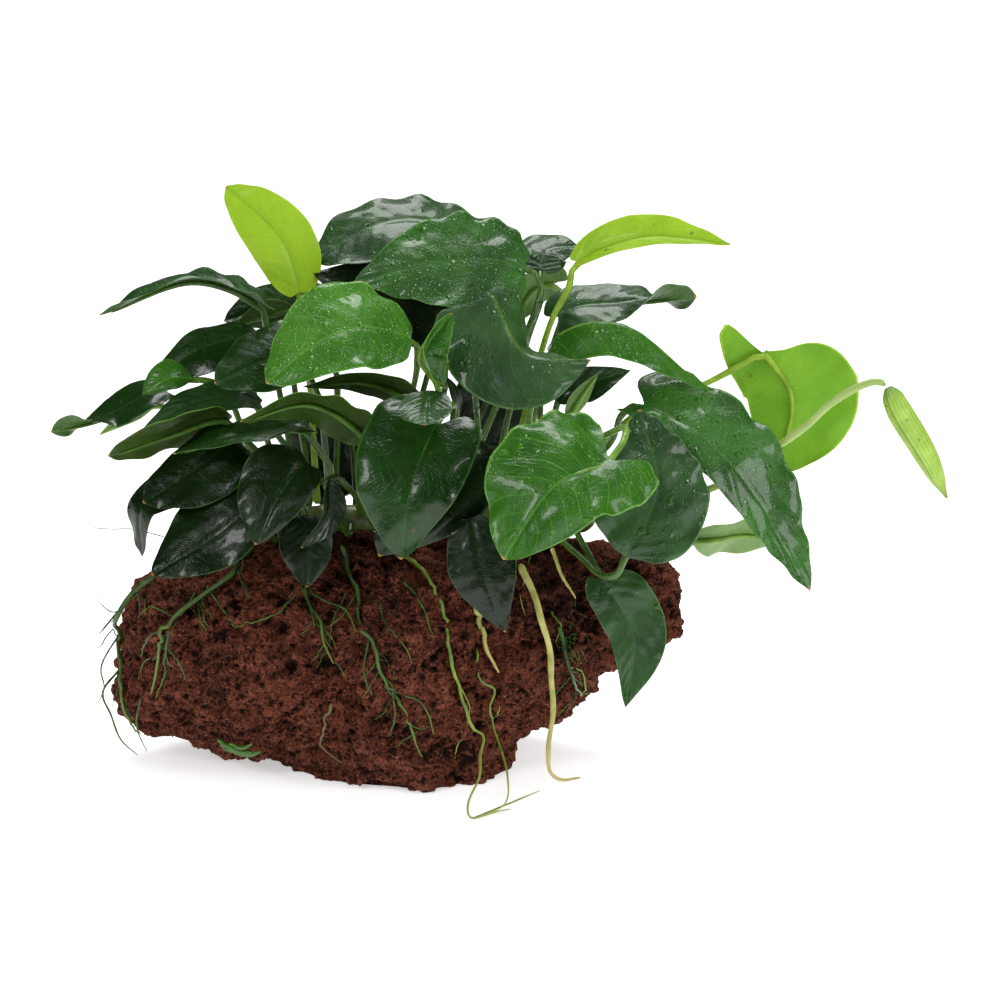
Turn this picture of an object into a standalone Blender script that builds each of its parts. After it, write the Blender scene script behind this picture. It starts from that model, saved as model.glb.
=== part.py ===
"""Anubias growing on a red lava stone: stone, rhizome, leaves on their stalks, flower bud and roots.

Lengths in the tables are millimetres, angles are degrees. +X is to the viewer's right, -Y is toward the
viewer and +Z is up. The origin is the middle of the stone's flat underside.
"""

import math
from dataclasses import dataclass

import bmesh
import bpy
import numpy as np
from mathutils import Vector
from mathutils.bvhtree import BVHTree

MM = 0.001
GAP = 0.35


# ------------------------------------------------------------------ curves

def unit(v):
    v = np.asarray(v, float)
    return v / max(np.linalg.norm(v), 1e-9)


def spline(points, per_span=16):
    """A smooth curve through the points, with per_span samples between each two of them."""
    p = [np.asarray(q, float) for q in points]
    p = [2 * p[0] - p[1]] + p + [2 * p[-1] - p[-2]]
    out = []
    for a, b, c, d in zip(p, p[1:], p[2:], p[3:]):
        ta, tb, tc = (max(np.linalg.norm(v), 1e-6) ** 0.5 for v in (b - a, c - b, d - c))
        m1 = tb * ((b - a) / ta - (c - a) / (ta + tb) + (c - b) / tb)
        m2 = tb * ((c - b) / tb - (d - b) / (tb + tc) + (d - c) / tc)
        for i in range(per_span):
            t = i / per_span
            out.append((2 * t**3 - 3 * t**2 + 1) * b + (t**3 - 2 * t**2 + t) * m1
                       + (3 * t**2 - 2 * t**3) * c + (t**3 - t**2) * m2)
    out.append(p[-2])
    return np.array(out)


def along(line, shares):
    """Points and directions at these shares of a polyline's length."""
    steps = np.linalg.norm(np.diff(line, axis=0), axis=1)
    length = np.concatenate([[0], np.cumsum(steps)])
    at = np.asarray(shares, float) * length[-1]
    reach = length[-1] * 0.02

    def point(where):
        return np.stack([np.interp(where, length, line[:, k]) for k in range(3)], 1)

    ahead = point(np.minimum(at + reach, length[-1])) - point(np.maximum(at - reach, 0))
    return point(at), ahead / np.linalg.norm(ahead, axis=1)[:, None], length[-1]


def profile(s, knots, values):
    """A smooth line through (knots, values), read at s."""
    k, v = np.asarray(knots, float), np.asarray(values, float)
    slope = np.gradient(v, k)
    i = np.clip(np.searchsorted(k, s) - 1, 0, len(k) - 2)
    h = k[i + 1] - k[i]
    t = (s - k[i]) / h
    return ((2 * t**3 - 3 * t**2 + 1) * v[i] + (t**3 - 2 * t**2 + t) * h * slope[i]
            + (3 * t**2 - 2 * t**3) * v[i + 1] + (t**3 - t**2) * h * slope[i + 1])


# ------------------------------------------------------------------ leaves

@dataclass
class Leaf:
    """One leaf: where its stalk leaves the rhizome, and how its blade lies."""
    name: str
    kind: str
    root: tuple            # share of the rhizome's length, angle round it (0 viewer side, 90 up)
    via: list              # points the stalk passes
    base: tuple            # where the stalk meets the blade
    middle: tuple
    tip: tuple
    face: tuple            # the way the upper side looks: at base, middle and tip
    width: tuple           # left and right half widths, seen from above with the tip ahead
    fold: tuple = (8, 8)   # how far each half lifts from flat
    lobe: object = 0.15    # how far the lobes reach behind the stalk, as a share of the length; or one for each side
    full: object = None    # 0 is a base that tapers to the stalk, 1 a heart-shaped one; from the lobe if not given
    blunt: float = 0.2     # 0 is a drawn-out tip, 1 a round one
    roll: float = 0.12     # how much the margins turn down
    bent: bool = False     # the blade turns sharply away from the stalk


STALK_RADIUS = 1.25
BLADE_THICKNESS = 0.6
MIDRIB = 0.9

BASE_KNOTS = (0, 0.02, 0.06, 0.14, 0.26, 0.40)
NARROW_BASE = (0.06, 0.14, 0.30, 0.58, 0.85, 1.0)
HEART_BASE = (0.06, 0.36, 0.68, 0.93, 1.0, 0.99)
TIP_KNOTS = (0.40, 0.56, 0.72, 0.86, 0.95, 1.0)
SHARP_TIP = (1.0, 0.83, 0.56, 0.28, 0.10, 0.0)
BLUNT_TIP = (1.0, 0.98, 0.86, 0.60, 0.34, 0.0)
LOBE_KNOTS = (0, 0.02, 0.06, 0.14, 0.26, 0.45, 1.0)
LOBE_REACH = (0, 0.75, 1.0, 0.82, 0.45, 0.12, 0)


def of_side(value, v):
    """The value for the side of v, where one number may stand for both."""
    return value[int(v > 0)] if isinstance(value, tuple) else value


def half_width(leaf, s, v):
    """The blade's half width at s along its midrib, as a share of the widest, on the side of v."""
    full = of_side(leaf.full, v)
    heart = min(1.0, of_side(leaf.lobe, v) / 0.12) if full is None else full
    near = heart * profile(s, BASE_KNOTS, HEART_BASE) + (1 - heart) * profile(s, BASE_KNOTS, NARROW_BASE)
    far = leaf.blunt * profile(s, TIP_KNOTS, BLUNT_TIP) + (1 - leaf.blunt) * profile(s, TIP_KNOTS, SHARP_TIP)
    return np.where(s < 0.40, near, far)


def leaf_lines(leaf):
    """The stalk's line and the midrib's line, as dense polylines."""
    share, angle = leaf.root
    start, out = rhizome_skin(share, angle)
    knee = start + out * 9
    points = [start, knee] + [np.array(p, float) for p in leaf.via] + [leaf.base, leaf.middle, leaf.tip]
    if leaf.bent:
        return spline(points[:-2]), spline(points[-3:])
    line = spline(points)
    split = 16 * (len(points) - 3)
    return line[:split + 1], line[split:]


def face_at(leaf, s, tangent):
    """Upward and sideways directions of the blade at s."""
    base, middle, tip = (unit(f) for f in leaf.face)
    look = np.where(s[:, None] < 0.5, base + (middle - base) * s[:, None] * 2,
                    middle + (tip - middle) * (s[:, None] * 2 - 1))
    look = look - (look * tangent).sum(1)[:, None] * tangent
    look /= np.linalg.norm(look, axis=1)[:, None]
    return look, np.cross(tangent, look)


def blade_points(leaf, line, s, u):
    """The blade's upper skin over the grid of s (stalk to tip) and u (-1 left margin to 1 right margin)."""
    point, tangent, length = along(line, s)
    up, side = face_at(leaf, s, tangent)
    rows = []
    for v in u:
        wide = half_width(leaf, s, v)
        back = profile(s, LOBE_KNOTS, LOBE_REACH) * of_side(leaf.lobe, v) * length
        width = leaf.width[1] if v > 0 else leaf.width[0]
        fold = math.radians(leaf.fold[1] if v > 0 else leaf.fold[0])
        reach = abs(v) * wide * width
        lift = reach * math.sin(fold) - leaf.roll * width * wide * v * v
        across = math.copysign(1, v) * reach * math.cos(fold)
        rows.append(point + across[:, None] * side + lift[:, None] * up
                    - (back * abs(v) ** 1.5)[:, None] * tangent)
    return np.stack(rows, 1), up


RINGS_LARGE = np.array([0.03, 0.10, 0.24, 0.42, 0.62, 0.80, 0.93])
RINGS_MIDDLE = np.array([0.03, 0.12, 0.30, 0.52, 0.74, 0.92])
RINGS_SMALL = np.array([0.04, 0.20, 0.46, 0.72, 0.92])
RING_U = (-1, -0.5, 0, 0.5, 1)
STALK_S = (0, 0.36, 0.72, 1.0)


def leaf_mesh(leaf):
    """Stalk and blade as one closed skin of eight-point rings, from the rhizome to the drip tip."""
    stalk, midrib = leaf_lines(leaf)
    rings = []
    centre, tangent, _ = along(stalk, STALK_S)
    _, heading, _ = along(midrib, [0.0])
    up, side = (v[0] for v in face_at(leaf, np.array([0.0]), heading))
    frames = []
    for t in tangent[::-1]:
        side = unit(side - side.dot(t) * t)
        frames.append((side, np.cross(side, t)))
    for c, (sd, u), r in zip(centre, frames[::-1], (1.35, 1.1, 1.0, 1.05)):
        turn = [math.radians(a) for a in (180, 135, 90, 45, 0, -45, -90, -135)]
        rings.append([c + r * STALK_RADIUS * (math.cos(a) * sd + math.sin(a) * u) for a in turn])
    widest = max(leaf.width)
    cuts = RINGS_SMALL if widest < 11 else RINGS_MIDDLE if widest < 18 else RINGS_LARGE
    top, up = blade_points(leaf, midrib, cuts, RING_U)
    for k, s in enumerate(cuts):
        row = top[k]
        rib = BLADE_THICKNESS + MIDRIB * (1 - s)
        under = [row[3] - up[k] * BLADE_THICKNESS, row[2] - up[k] * rib, row[1] - up[k] * BLADE_THICKNESS]
        rings.append(list(row) + under)
    return loft(rings, tip=np.array(leaf.tip, float))


def loft(rings, tip=None):
    """A closed skin over rings of equal size, ending in a cap or drawn to a tip."""
    n = len(rings[0])
    points = [p for ring in rings for p in ring]
    faces = [tuple(range(n))[::-1]]
    for k in range(len(rings) - 1):
        for i in range(n):
            j = (i + 1) % n
            faces.append((k * n + i, k * n + j, (k + 1) * n + j, (k + 1) * n + i))
    last = (len(rings) - 1) * n
    if tip is None:
        faces.append(tuple(range(last, last + n)))
    else:
        points.append(tip)
        faces += [(last + i, last + (i + 1) % n, len(points) - 1) for i in range(n)]
    return points, faces


def tube(line, shares, radii, sides, twist=0.0):
    """A round-ended rod of varying radius along a line."""
    centre, tangent, _ = along(line, shares)
    side = unit(np.cross(tangent[0], (0.3, 0.2, 1.0)))
    rings = []
    for c, t, r in zip(centre, tangent, radii):
        side = unit(side - side.dot(t) * t)
        up = np.cross(t, side)
        turn = [twist + 2 * math.pi * i / sides for i in range(sides)]
        rings.append([c + r * (math.cos(a) * side + math.sin(a) * up) for a in turn])
    return loft(rings)


# ------------------------------------------------------------------ rhizome

RHIZOME_PATH = [(-54, 4, 98), (-30, 0, 100), (5, -3, 101), (40, -1, 101), (78, 2, 99)]
RHIZOME_RADIUS = 5.2


def rhizome_skin(share, angle):
    """A point just off the rhizome's skin, and the direction away from its middle."""
    centre, tangent, _ = along(spline(RHIZOME_PATH), [share])
    front = unit(np.cross(tangent[0], (0, 0, 1)))
    up = np.cross(front, tangent[0])
    a = math.radians(angle)
    out = math.cos(a) * front + math.sin(a) * up
    return centre[0] + out * (RHIZOME_RADIUS * 1.08 + GAP), out


def rhizome_mesh():
    shares = np.linspace(0, 1, 12)
    radii = [RHIZOME_RADIUS * (1 + 0.06 * math.sin(9 * i)) for i in range(12)]
    radii[0] = radii[-1] = RHIZOME_RADIUS * 0.45
    return tube(spline(RHIZOME_PATH), shares, radii, 10)


# ------------------------------------------------------------------ stone

# The stone's outline seen from the viewer's side, clockwise from the top middle: (x, z).
STONE_OUTLINE = [(0, 93), (40, 93), (80, 92), (108, 86), (116, 70), (114, 57), (99, 46), (84, 36), (69, 21),
                 (56, 9), (44, -2), (10, -18), (-22, -13), (-50, 0), (-80, 6), (-97, 12), (-113, 22),
                 (-117, 42), (-117, 58), (-106, 72), (-88, 84), (-56, 91)]
STONE_MIDDLE = (0, 46)
STONE_DEPTH = 50
STONE_STRETCH = (2.0, 1.0, 1.0)
STONE_SQUARENESS = 2.6
STONE_DETAIL = 4


def stone_skin(points):
    """Moves the points of a unit sphere to the stone's skin."""
    ring = spline([(x, 0, z) for x, z in STONE_OUTLINE + STONE_OUTLINE[:1]], 8)
    ring_x, ring_z = ring[:, 0] - STONE_MIDDLE[0], ring[:, 2] - STONE_MIDDLE[1]
    bearing = np.arctan2(ring_z, ring_x)
    order = np.argsort(bearing)
    d = points * STONE_STRETCH
    d = d / np.linalg.norm(d, axis=1)[:, None]
    rim = np.interp(np.arctan2(d[:, 2], d[:, 0]), bearing[order], np.hypot(ring_x, ring_z)[order], period=2 * math.pi)
    flat = (np.hypot(d[:, 0], d[:, 2]) / rim) ** STONE_SQUARENESS
    deep = (np.abs(d[:, 1]) / STONE_DEPTH) ** STONE_SQUARENESS
    p = d * ((flat + deep) ** (-1 / STONE_SQUARENESS))[:, None]
    p[:, 1] *= 1 - 0.28 * (p[:, 0] / 116) ** 2
    out = p * (0.6, 1.4, 1.0)
    out = out / np.linalg.norm(out, axis=1)[:, None]
    p = p + (STONE_MIDDLE[0], 0, STONE_MIDDLE[1])
    x, y, z = p.T
    lump = (1.8 * np.sin(0.09 * x + 1.3) * np.sin(0.11 * y + 0.6) + 1.5 * np.sin(0.13 * z + 0.07 * x)
            + 1.0 * np.sin(0.23 * x + 0.19 * y + 0.17 * z))
    hollow = np.where(y < 0, 9 * np.exp(-((x - 66) ** 2 + (z - 74) ** 2) / 260), 0)
    p = p + out * (lump - hollow - 1.5)[:, None]
    p[:, 2] = np.maximum(p[:, 2], 0)
    return p


def stone_mesh():
    ball = bmesh.new()
    bmesh.ops.create_icosphere(ball, subdivisions=STONE_DETAIL, radius=1)
    points = stone_skin(np.array([v.co[:] for v in ball.verts]))
    faces = [tuple(v.index for v in f.verts) for f in ball.faces]
    ball.free()
    return list(points), faces


# ------------------------------------------------------------------ roots

@dataclass
class Root:
    """A root: points as (x, z) where it lies on the stone's front, or (x, y, z) where it hangs free."""
    name: str
    points: list
    radius: float
    rings: int = 9


ROOT_LIFT = 0.9


def clear_of(p, skin, room):
    """The point, moved out of the stone until it has this much room."""
    for _ in range(3):
        near, normal = skin.find_nearest(Vector(p))[:2]
        height = (Vector(p) - near).dot(normal)
        if height >= room:
            break
        p = np.array(p) + np.array(normal) * (room - height)
    return p


def root_line(root, skin):
    """The root's line, laid on the stone's viewer side wherever it isn't free."""
    points = []
    for p in root.points:
        if len(p) == 3:
            points.append(p)
            continue
        hit = skin.ray_cast(Vector((p[0], -300, p[1])), Vector((0, 1, 0)))[0]
        y = hit.y if hit else points[-1][1] if points else -20
        points.append((p[0], y - root.radius - ROOT_LIFT, p[1]))
    line = spline(points)
    line = np.array([clear_of(p, skin, root.radius + ROOT_LIFT) for p in line])
    line[:, 2] = np.maximum(line[:, 2], root.radius + 0.1)
    return line


def root_mesh(root, skin):
    shares = np.linspace(0, 1, root.rings)
    radii = root.radius * np.interp(shares, (0, 0.1, 0.8, 1), (1, 1, 0.8, 0.3))
    return tube(root_line(root, skin), shares, radii, 6)


# ------------------------------------------------------------------ flower

PEDUNCLE_START = (0.94, 40)
PEDUNCLE_PATH = [(104, -20, 116), (122, -22, 118), (145, -22, 133), (159, -24, 144), (168, -24, 152.5),
                 (175, -24, 157.5), (180.5, -24, 160.2), (185, -24, 161.5), (188, -24, 161.2), (189.5, -24, 160.3)]
PEDUNCLE_RADIUS = 1.5
PEDUNCLE_SHARES = (0, 0.08, 0.16, 0.28, 0.40, 0.52, 0.62, 0.72, 0.82, 0.88, 0.92, 0.96, 0.98, 1.0)
SPATHE_PATH = [(190.5, -24, 159.2), (195, -25, 150), (205, -25, 134), (215, -24, 115)]
SPATHE_SHARES = (0, 0.05, 0.15, 0.32, 0.5, 0.68, 0.84, 0.95, 1)
SPATHE_RADII = (1.6, 3.6, 4.8, 5.2, 5.0, 4.4, 3.0, 1.2, 0.5)


def peduncle_mesh():
    start, out = rhizome_skin(*PEDUNCLE_START)
    line = spline([start, start + out * 8] + PEDUNCLE_PATH)
    return tube(line, PEDUNCLE_SHARES, [PEDUNCLE_RADIUS] * len(PEDUNCLE_SHARES), 7)


def spathe_mesh():
    return tube(spline(SPATHE_PATH), SPATHE_SHARES, SPATHE_RADII, 10)


# ------------------------------------------------------------------ the plant

def same(x, y, z):
    return ((x, y, z),) * 3


LEAVES = [
    Leaf("leaf_young_upright", "young", (0.16, 100), [], (-39, 5, 191), (-46, 8, 212), (-68, 14, 232),
         same(0.2, -0.95, 0.2), (14, 13), (12, 12), 0.05, blunt=0.75),
    Leaf("leaf_arched_left", "old", (0.10, 100), [(-50, 3, 165), (-52, -1, 179)], (-55, -4, 189.5), (-79, -8, 199),
         (-116, -14, 186), ((-0.7, -0.2, 0.7), (0, -0.1, 1), (-0.3, -0.1, 0.95)), (17, 16), (26, 5), 0.12, blunt=0),
    Leaf("leaf_round_left", "mid", (0.20, 150), [], (-31, 23, 178), (-52, 19, 182), (-70, 13, 178),
         same(0, -0.75, 0.65), (12, 12), (10, 10), 0.2, blunt=0.5),
    Leaf("leaf_sliver_left", "old", (0.12, 150), [(-43, 12, 160)], (-42, 10, 183), (-52, 8, 182), (-65, 4, 178),
         same(0, 0.85, 0.5), (7, 6), (10, 10), 0),
    Leaf("leaf_bright_left", "mid", (0.38, 60), [(8, -24, 169)], (6, -30, 180), (-20, -48, 187), (-48, -60, 169),
         ((0.1, -0.75, 0.65), (-0.1, -0.78, 0.62), (-0.4, -0.75, 0.5)), (19, 23), (5, 0), 0.04, 0.3, 0.6),
    Leaf("leaf_back_top", "old", (0.40, 140), [], (18, 30, 211), (-6, 26, 216), (-35, 14, 202),
         ((0, -0.5, 0.86), (-0.1, -0.6, 0.8), (-0.4, -0.6, 0.7)), (20, 15), (5, 0), 0.3, blunt=0.9),
    Leaf("leaf_crown", "old", (0.62, 110), [(50, -2, 175), (56, 4, 194)], (50, 2, 202), (17, -8, 206),
         (-17, -16, 199), ((0, -0.7, 0.7), (0, -0.72, 0.69), (-0.2, -0.72, 0.66)), (25, 23), (5, 5), 0.05, 0.7, 0.1),
    Leaf("leaf_centre_oval", "old", (0.66, 45), [(30, -20, 170)], (35, -30, 198), (49, -40, 177), (75, -36, 173),
         ((-0.1, -0.8, 0.6), (-0.1, -0.75, 0.66), (0.2, -0.75, 0.6)), (16, 27), (-50, 0), 0.1),
    Leaf("leaf_twisted_small", "mid", (0.47, 40), [(14, -34, 148)], (18, -51, 166), (11, -57, 179), (22, -50, 194),
         ((0.75, -0.6, 0.2), (0.7, -0.6, 0.3), (0.5, -0.6, 0.6)), (11, 11), (55, 30), 0.02, 0.2, 0.4),
    Leaf("leaf_mirror_small", "old", (0.43, 10), [(6, -38, 142)], (13, -58, 166), (12, -69, 162), (12, -80, 158),
         same(0, -0.5, 0.86), (10, 10), (0, 0), 0, 0.5, 1),
    Leaf("leaf_front_heart", "old", (0.52, 20), [(22, -44, 152), (22, -52, 159)], (16, -62, 154), (7, -80, 134),
         (3, -84, 107), ((0, -0.8, 0.6), (-0.05, -0.95, 0.3), (0, -1, 0.05)), (19, 24), (5, 5), 0.2, blunt=0.25),
    Leaf("leaf_under_heart", "old", (0.60, 20), [], (27, -49, 148), (13, -63, 130), (-6, -69, 104),
         ((0, -0.9, 0.4), (0, -0.95, 0.3), (0, -1, 0.1)), (23, 22), (0, 0), (0.12, 0), (0.8, 0)),
    Leaf("leaf_arched_right", "mid", (0.78, 85), [], (60, -14, 176), (86, -22, 184.5), (122, -32, 159),
         ((-0.3, -0.6, 0.75), (0.1, -0.6, 0.8), (0.4, -0.5, 0.75)), (9, 15), (-60, -10), 0.12, blunt=0),
    Leaf("leaf_young_right", "young", (0.74, 90), [(60, 0, 180), (67, 4, 193)], (70, 6, 203), (98, 2, 214.5), (130, -4, 212),
         same(0, -0.8, 0.6), (10, 6), (10, 25), 0.05),
    Leaf("leaf_back_small", "old", (0.70, 120), [(50, 8, 168), (56, 16, 186)], (56, 26, 196.5), (59, 33, 203), (72, 39, 204),
         same(0, -0.5, 0.86), (13, 10), (0, 0), 0.1, blunt=0.3),
    Leaf("leaf_pale_back", "mid", (0.75, 165), [(65, 36, 176)], (62, 36, 189), (53, 34, 187), (46, 30, 174),
         same(0, 0.8, 0.6), (10, 9), (0, 0), 0.2, blunt=0.3),
    Leaf("leaf_dark_twist", "old", (0.84, 140), [], (63, 10, 180), (89, 12, 186), (118, 8, 189),
         ((0, -0.6, 0.8), (0, -0.4, 0.92), (0.2, 0.95, 0.3)), (12, 14), (10, 10), 0.1, blunt=1),
    Leaf("leaf_pale_right", "young", (0.93, 120), [(96, 2, 144), (121, -3, 156), (134, -3, 163)], (144, 1, 168), (156, 4, 149),
         (150, 0, 118), ((0, 0.97, -0.2), (0.05, 1, 0), (0, 0.97, -0.2)), (19, 28), (12, 12), (0.38, 0),
         (0.3, -0.3), 0.5, bent=True),
    Leaf("leaf_wet_right", "old", (0.92, 75), [(84, -22, 138), (87, -28, 149)], (95, -34, 155), (127, -50, 137),
         (159, -58, 87), ((0.2, -0.75, 0.65), (0.1, -0.78, 0.62), (0.4, -0.85, 0.35)), (24, 12), (-5, 10), 0.12,
         blunt=0.35),
    Leaf("leaf_grey_heart", "old", (0.83, 5), [(64, -44, 103), (72, -56, 99), (78, -66, 96), (84, -73, 98)],
         (87, -76, 106), (99, -70, 130), (93, -50, 157), ((0, -0.9, 0.4), (0.1, -0.95, 0.3), (0, -0.7, 0.7)),
         (25, 21), (5, 0), 0, 0.6),
    Leaf("leaf_bright_front", "mid", (0.74, 45), [(87, -64, 153)], (81, -84, 146), (61, -100, 141), (41, -108, 114),
         ((-0.1, -0.75, 0.65), (-0.1, -0.8, 0.6), (-0.2, -0.85, 0.4)), (21, 29), (5, 0), (0.24, 0.25), blunt=0.45),
    Leaf("leaf_low_right", "old", (0.92, 0), [(69, -45, 108), (75, -53, 98)], (79, -58, 92), (91, -64, 71), (88, -70, 44),
         ((0, -1, 0.1), (0, -1, 0.1), (0, -1, -0.05)), (14, 10), (10, 5), (0.02, 0.1), (1, 0.8), 0.1),
    Leaf("leaf_low_centre", "old", (0.56, 0), [(30, -66, 108)], (29, -70, 119.5), (34, -78, 99), (42, -79, 77),
         same(0, -1, 0.2), (14, 13), (0, 0), 0.04, blunt=0.1),
    Leaf("leaf_pale_low", "mid", (0.97, 30), [], (114, -28, 100), (137, -18, 99), (158, -14, 94),
         same(0, 0.7, 0.7), (16, 13), (0, 10), 0),
    Leaf("leaf_small_inner", "old", (0.88, 110), [], (62, -8, 151), (77, -2, 156.5), (92, 4, 160),
         same(0, -0.8, 0.6), (8, 8), (20, 10), 0.05, blunt=0),
    Leaf("leaf_pale_inner", "mid", (0.84, 40), [], (66, -20, 145), (71, -21, 155), (78, -22, 165),
         same(-0.3, 0.9, 0.3), (4, 4), (0, 0), 0),
    Leaf("leaf_dark_left", "old", (0.22, 40), [], (-36, -26, 175), (-51, -34, 172), (-69, -42, 165),
         same(-0.1, -0.75, 0.65), (14, 15), (0, 0), 0.12, blunt=0.5),
    Leaf("leaf_large_left", "old", (0.05, 95), [(-58, -5, 160)], (-56, -7, 174.5), (-75, -12, 173.5),
         (-97, -20, 159.5), same(0, -0.7, 0.7), (14, 9), (10, 0), 0.06, blunt=0.3),
    Leaf("leaf_curled_left", "mid", (0.02, 45), [(-68, -14, 156)], (-79, -22.5, 162.5), (-88, -28, 164), (-98, -30, 158),
         same(0, -0.85, 0.5), (5, 8), (0, 0), 0, blunt=0.5),
    Leaf("leaf_far_left", "old", (0.02, 130), [], (-91, -6, 154), (-115, -10, 145), (-136, -18, 140),
         ((-0.2, -0.6, 0.8), (0, -0.3, 0.95), (0, 0.95, 0.2)), (12, 10), (10, 10), 0.05, blunt=0.6),
    Leaf("leaf_pale_left", "mid", (0.04, 160), [], (-94, 6, 146), (-108, 8, 140), (-121, 10, 132),
         same(0, 0.95, 0.3), (4, 3), (0, 0), 0),
    Leaf("leaf_streaked_left", "old", (0.15, 20), [], (-53, -22, 152.5), (-76, -30.5, 156), (-98, -36, 145.5),
         same(0, -0.4, 0.92), (11, 10), (10, 10), 0.05, blunt=0.1),
    Leaf("leaf_olive_left", "mid", (0.10, 15), [], (-64, -32, 149), (-87, -40, 145), (-110, -48, 138),
         same(0, 0.6, 0.8), (18, 13), (0, 0), 0, 0.3, 1),
    Leaf("leaf_rimmed_left", "old", (0.24, 5), [], (-32, -42, 147), (-59, -50, 147), (-84, -56, 141),
         same(0, -0.15, 0.98), (11, 13), (10, 10), 0.05, blunt=0),
    Leaf("leaf_olive_big", "mid", (0.30, 40), [], (-11, -46, 145), (-32, -56, 161), (-58, -62, 155),
         ((0.2, 0.65, 0.75), (0, 0.6, 0.8), (-0.3, 0.6, 0.75)), (14, 14), (0, 0), 0.1, blunt=0.3),
    Leaf("leaf_olive_strip", "mid", (0.34, 30), [], (6, -38, 156), (-10, -42, 166), (-35, -46, 165),
         ((0.3, 0.7, 0.65), (0, 0.65, 0.75), (-0.2, 0.65, 0.75)), (10, 9), (0, 0), 0.1),
    Leaf("leaf_shade_upper", "old", (0.05, 10), [], (-60, -40, 142), (-78, -49, 132), (-96, -57, 122),
         same(-0.2, -0.75, 0.65), (17, 14), (0, 0), 0.1, blunt=0.5),
    Leaf("leaf_shade_pale", "mid", (0.06, -20), [], (-68, -40, 126), (-97, -47, 119), (-98, -49, 98),
         ((-0.3, -0.5, 0.8), (-0.6, -0.6, 0.55), (-0.8, -0.6, 0.1)), (10, 11), (0, 0), 0.03, blunt=0.4),
    Leaf("leaf_shade_low", "old", (0.13, -15), [], (-51, -54, 121), (-71, -64, 109), (-92, -70, 97),
         same(-0.1, -0.8, 0.6), (14, 20), (0, 0), 0.04, blunt=0.4),
    Leaf("leaf_shade_round", "old", (0.27, -10), [], (-33, -54, 137), (-43, -66, 128), (-52, -74, 110),
         ((-0.1, -0.85, 0.5), (-0.1, -0.9, 0.4), (0, -1, 0.1)), (11, 18), (5, 5), 0.08, blunt=0.4),
    Leaf("leaf_shade_narrow", "mid", (0.37, -10), [(-18, -50, 126)], (-24, -60, 133), (-25, -64, 119),
         (-35, -68, 107), same(0.4, -0.9, 0.2), (7, 4), (30, 40), 0),
    Leaf("leaf_shade_inner", "old", (0.20, -20), [], (-35, -46, 114), (-34, -52, 102), (-34, -56, 88),
         same(0, -1, 0.2), (10, 11), (0, 0), 0.05, blunt=0.5),
    Leaf("leaf_edge_on", "mid", (0.54, 80), [], (25, -38, 153), (23, -40, 162), (19, -40, 168),
         same(0.8, -0.5, 0.3), (4, 3), (0, 0), 0),
    Leaf("leaf_rear_left", "old", (0.26, 172), [], (-22, 23, 135), (-28, 25, 116), (-34, 32, 97),
         same(0, -0.93, 0.35), (20, 22), (5, 5), 0.15),
    Leaf("leaf_rear_middle", "old", (0.55, 165), [], (41, 30, 154), (35, 32, 132), (31, 35, 101),
         same(0, -0.93, 0.35), (17, 16), (5, 5), 0.15),
    Leaf("leaf_rear_high", "old", (0.45, 140), [], (20, 10, 174), (-4, 8, 189), (-34, 6, 199),
         same(0, -0.75, 0.65), (17, 17), (5, 5), 0.15),
]

ROOTS = [
    Root("root_left_outer", [(-96, 83), (-106, 75), (-112, 66), (-113, 50), (-112, 36), (-110, 24), (-104, 14)], 1.2),
    Root("root_left_cut", [(-58, 93), (-64, 86), (-78, 76), (-89, 66), (-95, 52), (-98, 36)], 1.3),
    Root("root_front_left", [(-42, 90), (-36, 78), (-29, 64), (-24, 55)], 0.9),
    Root("root_front_middle", [(-23, 95), (-20, 88), (-15, 76), (-8, 60), (-5, 48), (0, 41), (5, 28), (9, 15)], 1.0,
         11),
    Root("root_to_floor", [(-2, 90), (6, 89), (13, 84), (18, 73), (20, 66), (21, 52), (24, 46), (26, 38), (29, 28),
                           (33, 21), (31, -58, 11), (28, -74, 1.2), (44, -66, 1.2)], 0.9, 16),
    Root("root_pale_thick", [(29, 81), (32, 71), (35, 59), (39, 50)], 1.3, 6),
    Root("root_long_hanging", [(48, -54, 97), (56, -62, 76), (60, -66, 50), (59, -68, 26), (60, -62, 15), (64, -57, 10),
                               (72, -53, 9)], 1.5, 12),
    Root("root_right", [(63, 66), (68, 46), (72, 32)], 0.9, 7),
    Root("root_pale_right", [(60, -47, 101), (64, -52, 92), (69, -52, 82)], 0.9, 5),
    Root("root_tan", [(-26, 38), (-29, 31), (-30, 17), (-22, 10)], 0.8, 7),
]

COLOURS = {
    "young": (0.36, 0.55, 0.04), "mid": (0.07, 0.24, 0.02), "old": (0.015, 0.09, 0.02),
    "stone": (0.14, 0.05, 0.035), "rhizome": (0.10, 0.13, 0.03), "root": (0.16, 0.20, 0.05),
    "spathe": (0.42, 0.58, 0.14),
}
ROUGHNESS = {"stone": 0.95, "rhizome": 0.6, "root": 0.6}


def add_object(name, mesh_data, colour):
    """One named solid, in metres, with its own material."""
    points, faces = mesh_data
    mesh = bpy.data.meshes.new(name)
    mesh.from_pydata([tuple(float(c) * MM for c in p) for p in points], [], faces)
    made = bmesh.new()
    made.from_mesh(mesh)
    bmesh.ops.triangulate(made, faces=made.faces[:])
    bmesh.ops.recalc_face_normals(made, faces=made.faces[:])
    made.to_mesh(mesh)
    made.free()
    piece = bpy.data.objects.new(name, mesh)
    bpy.context.scene.collection.objects.link(piece)
    paint = bpy.data.materials.new(name)
    paint.use_nodes = True
    shader = paint.node_tree.nodes["Principled BSDF"]
    shader.inputs["Base Color"].default_value = (*COLOURS[colour], 1)
    shader.inputs["Roughness"].default_value = ROUGHNESS.get(colour, 0.3)
    mesh.materials.append(paint)
    return piece


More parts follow.
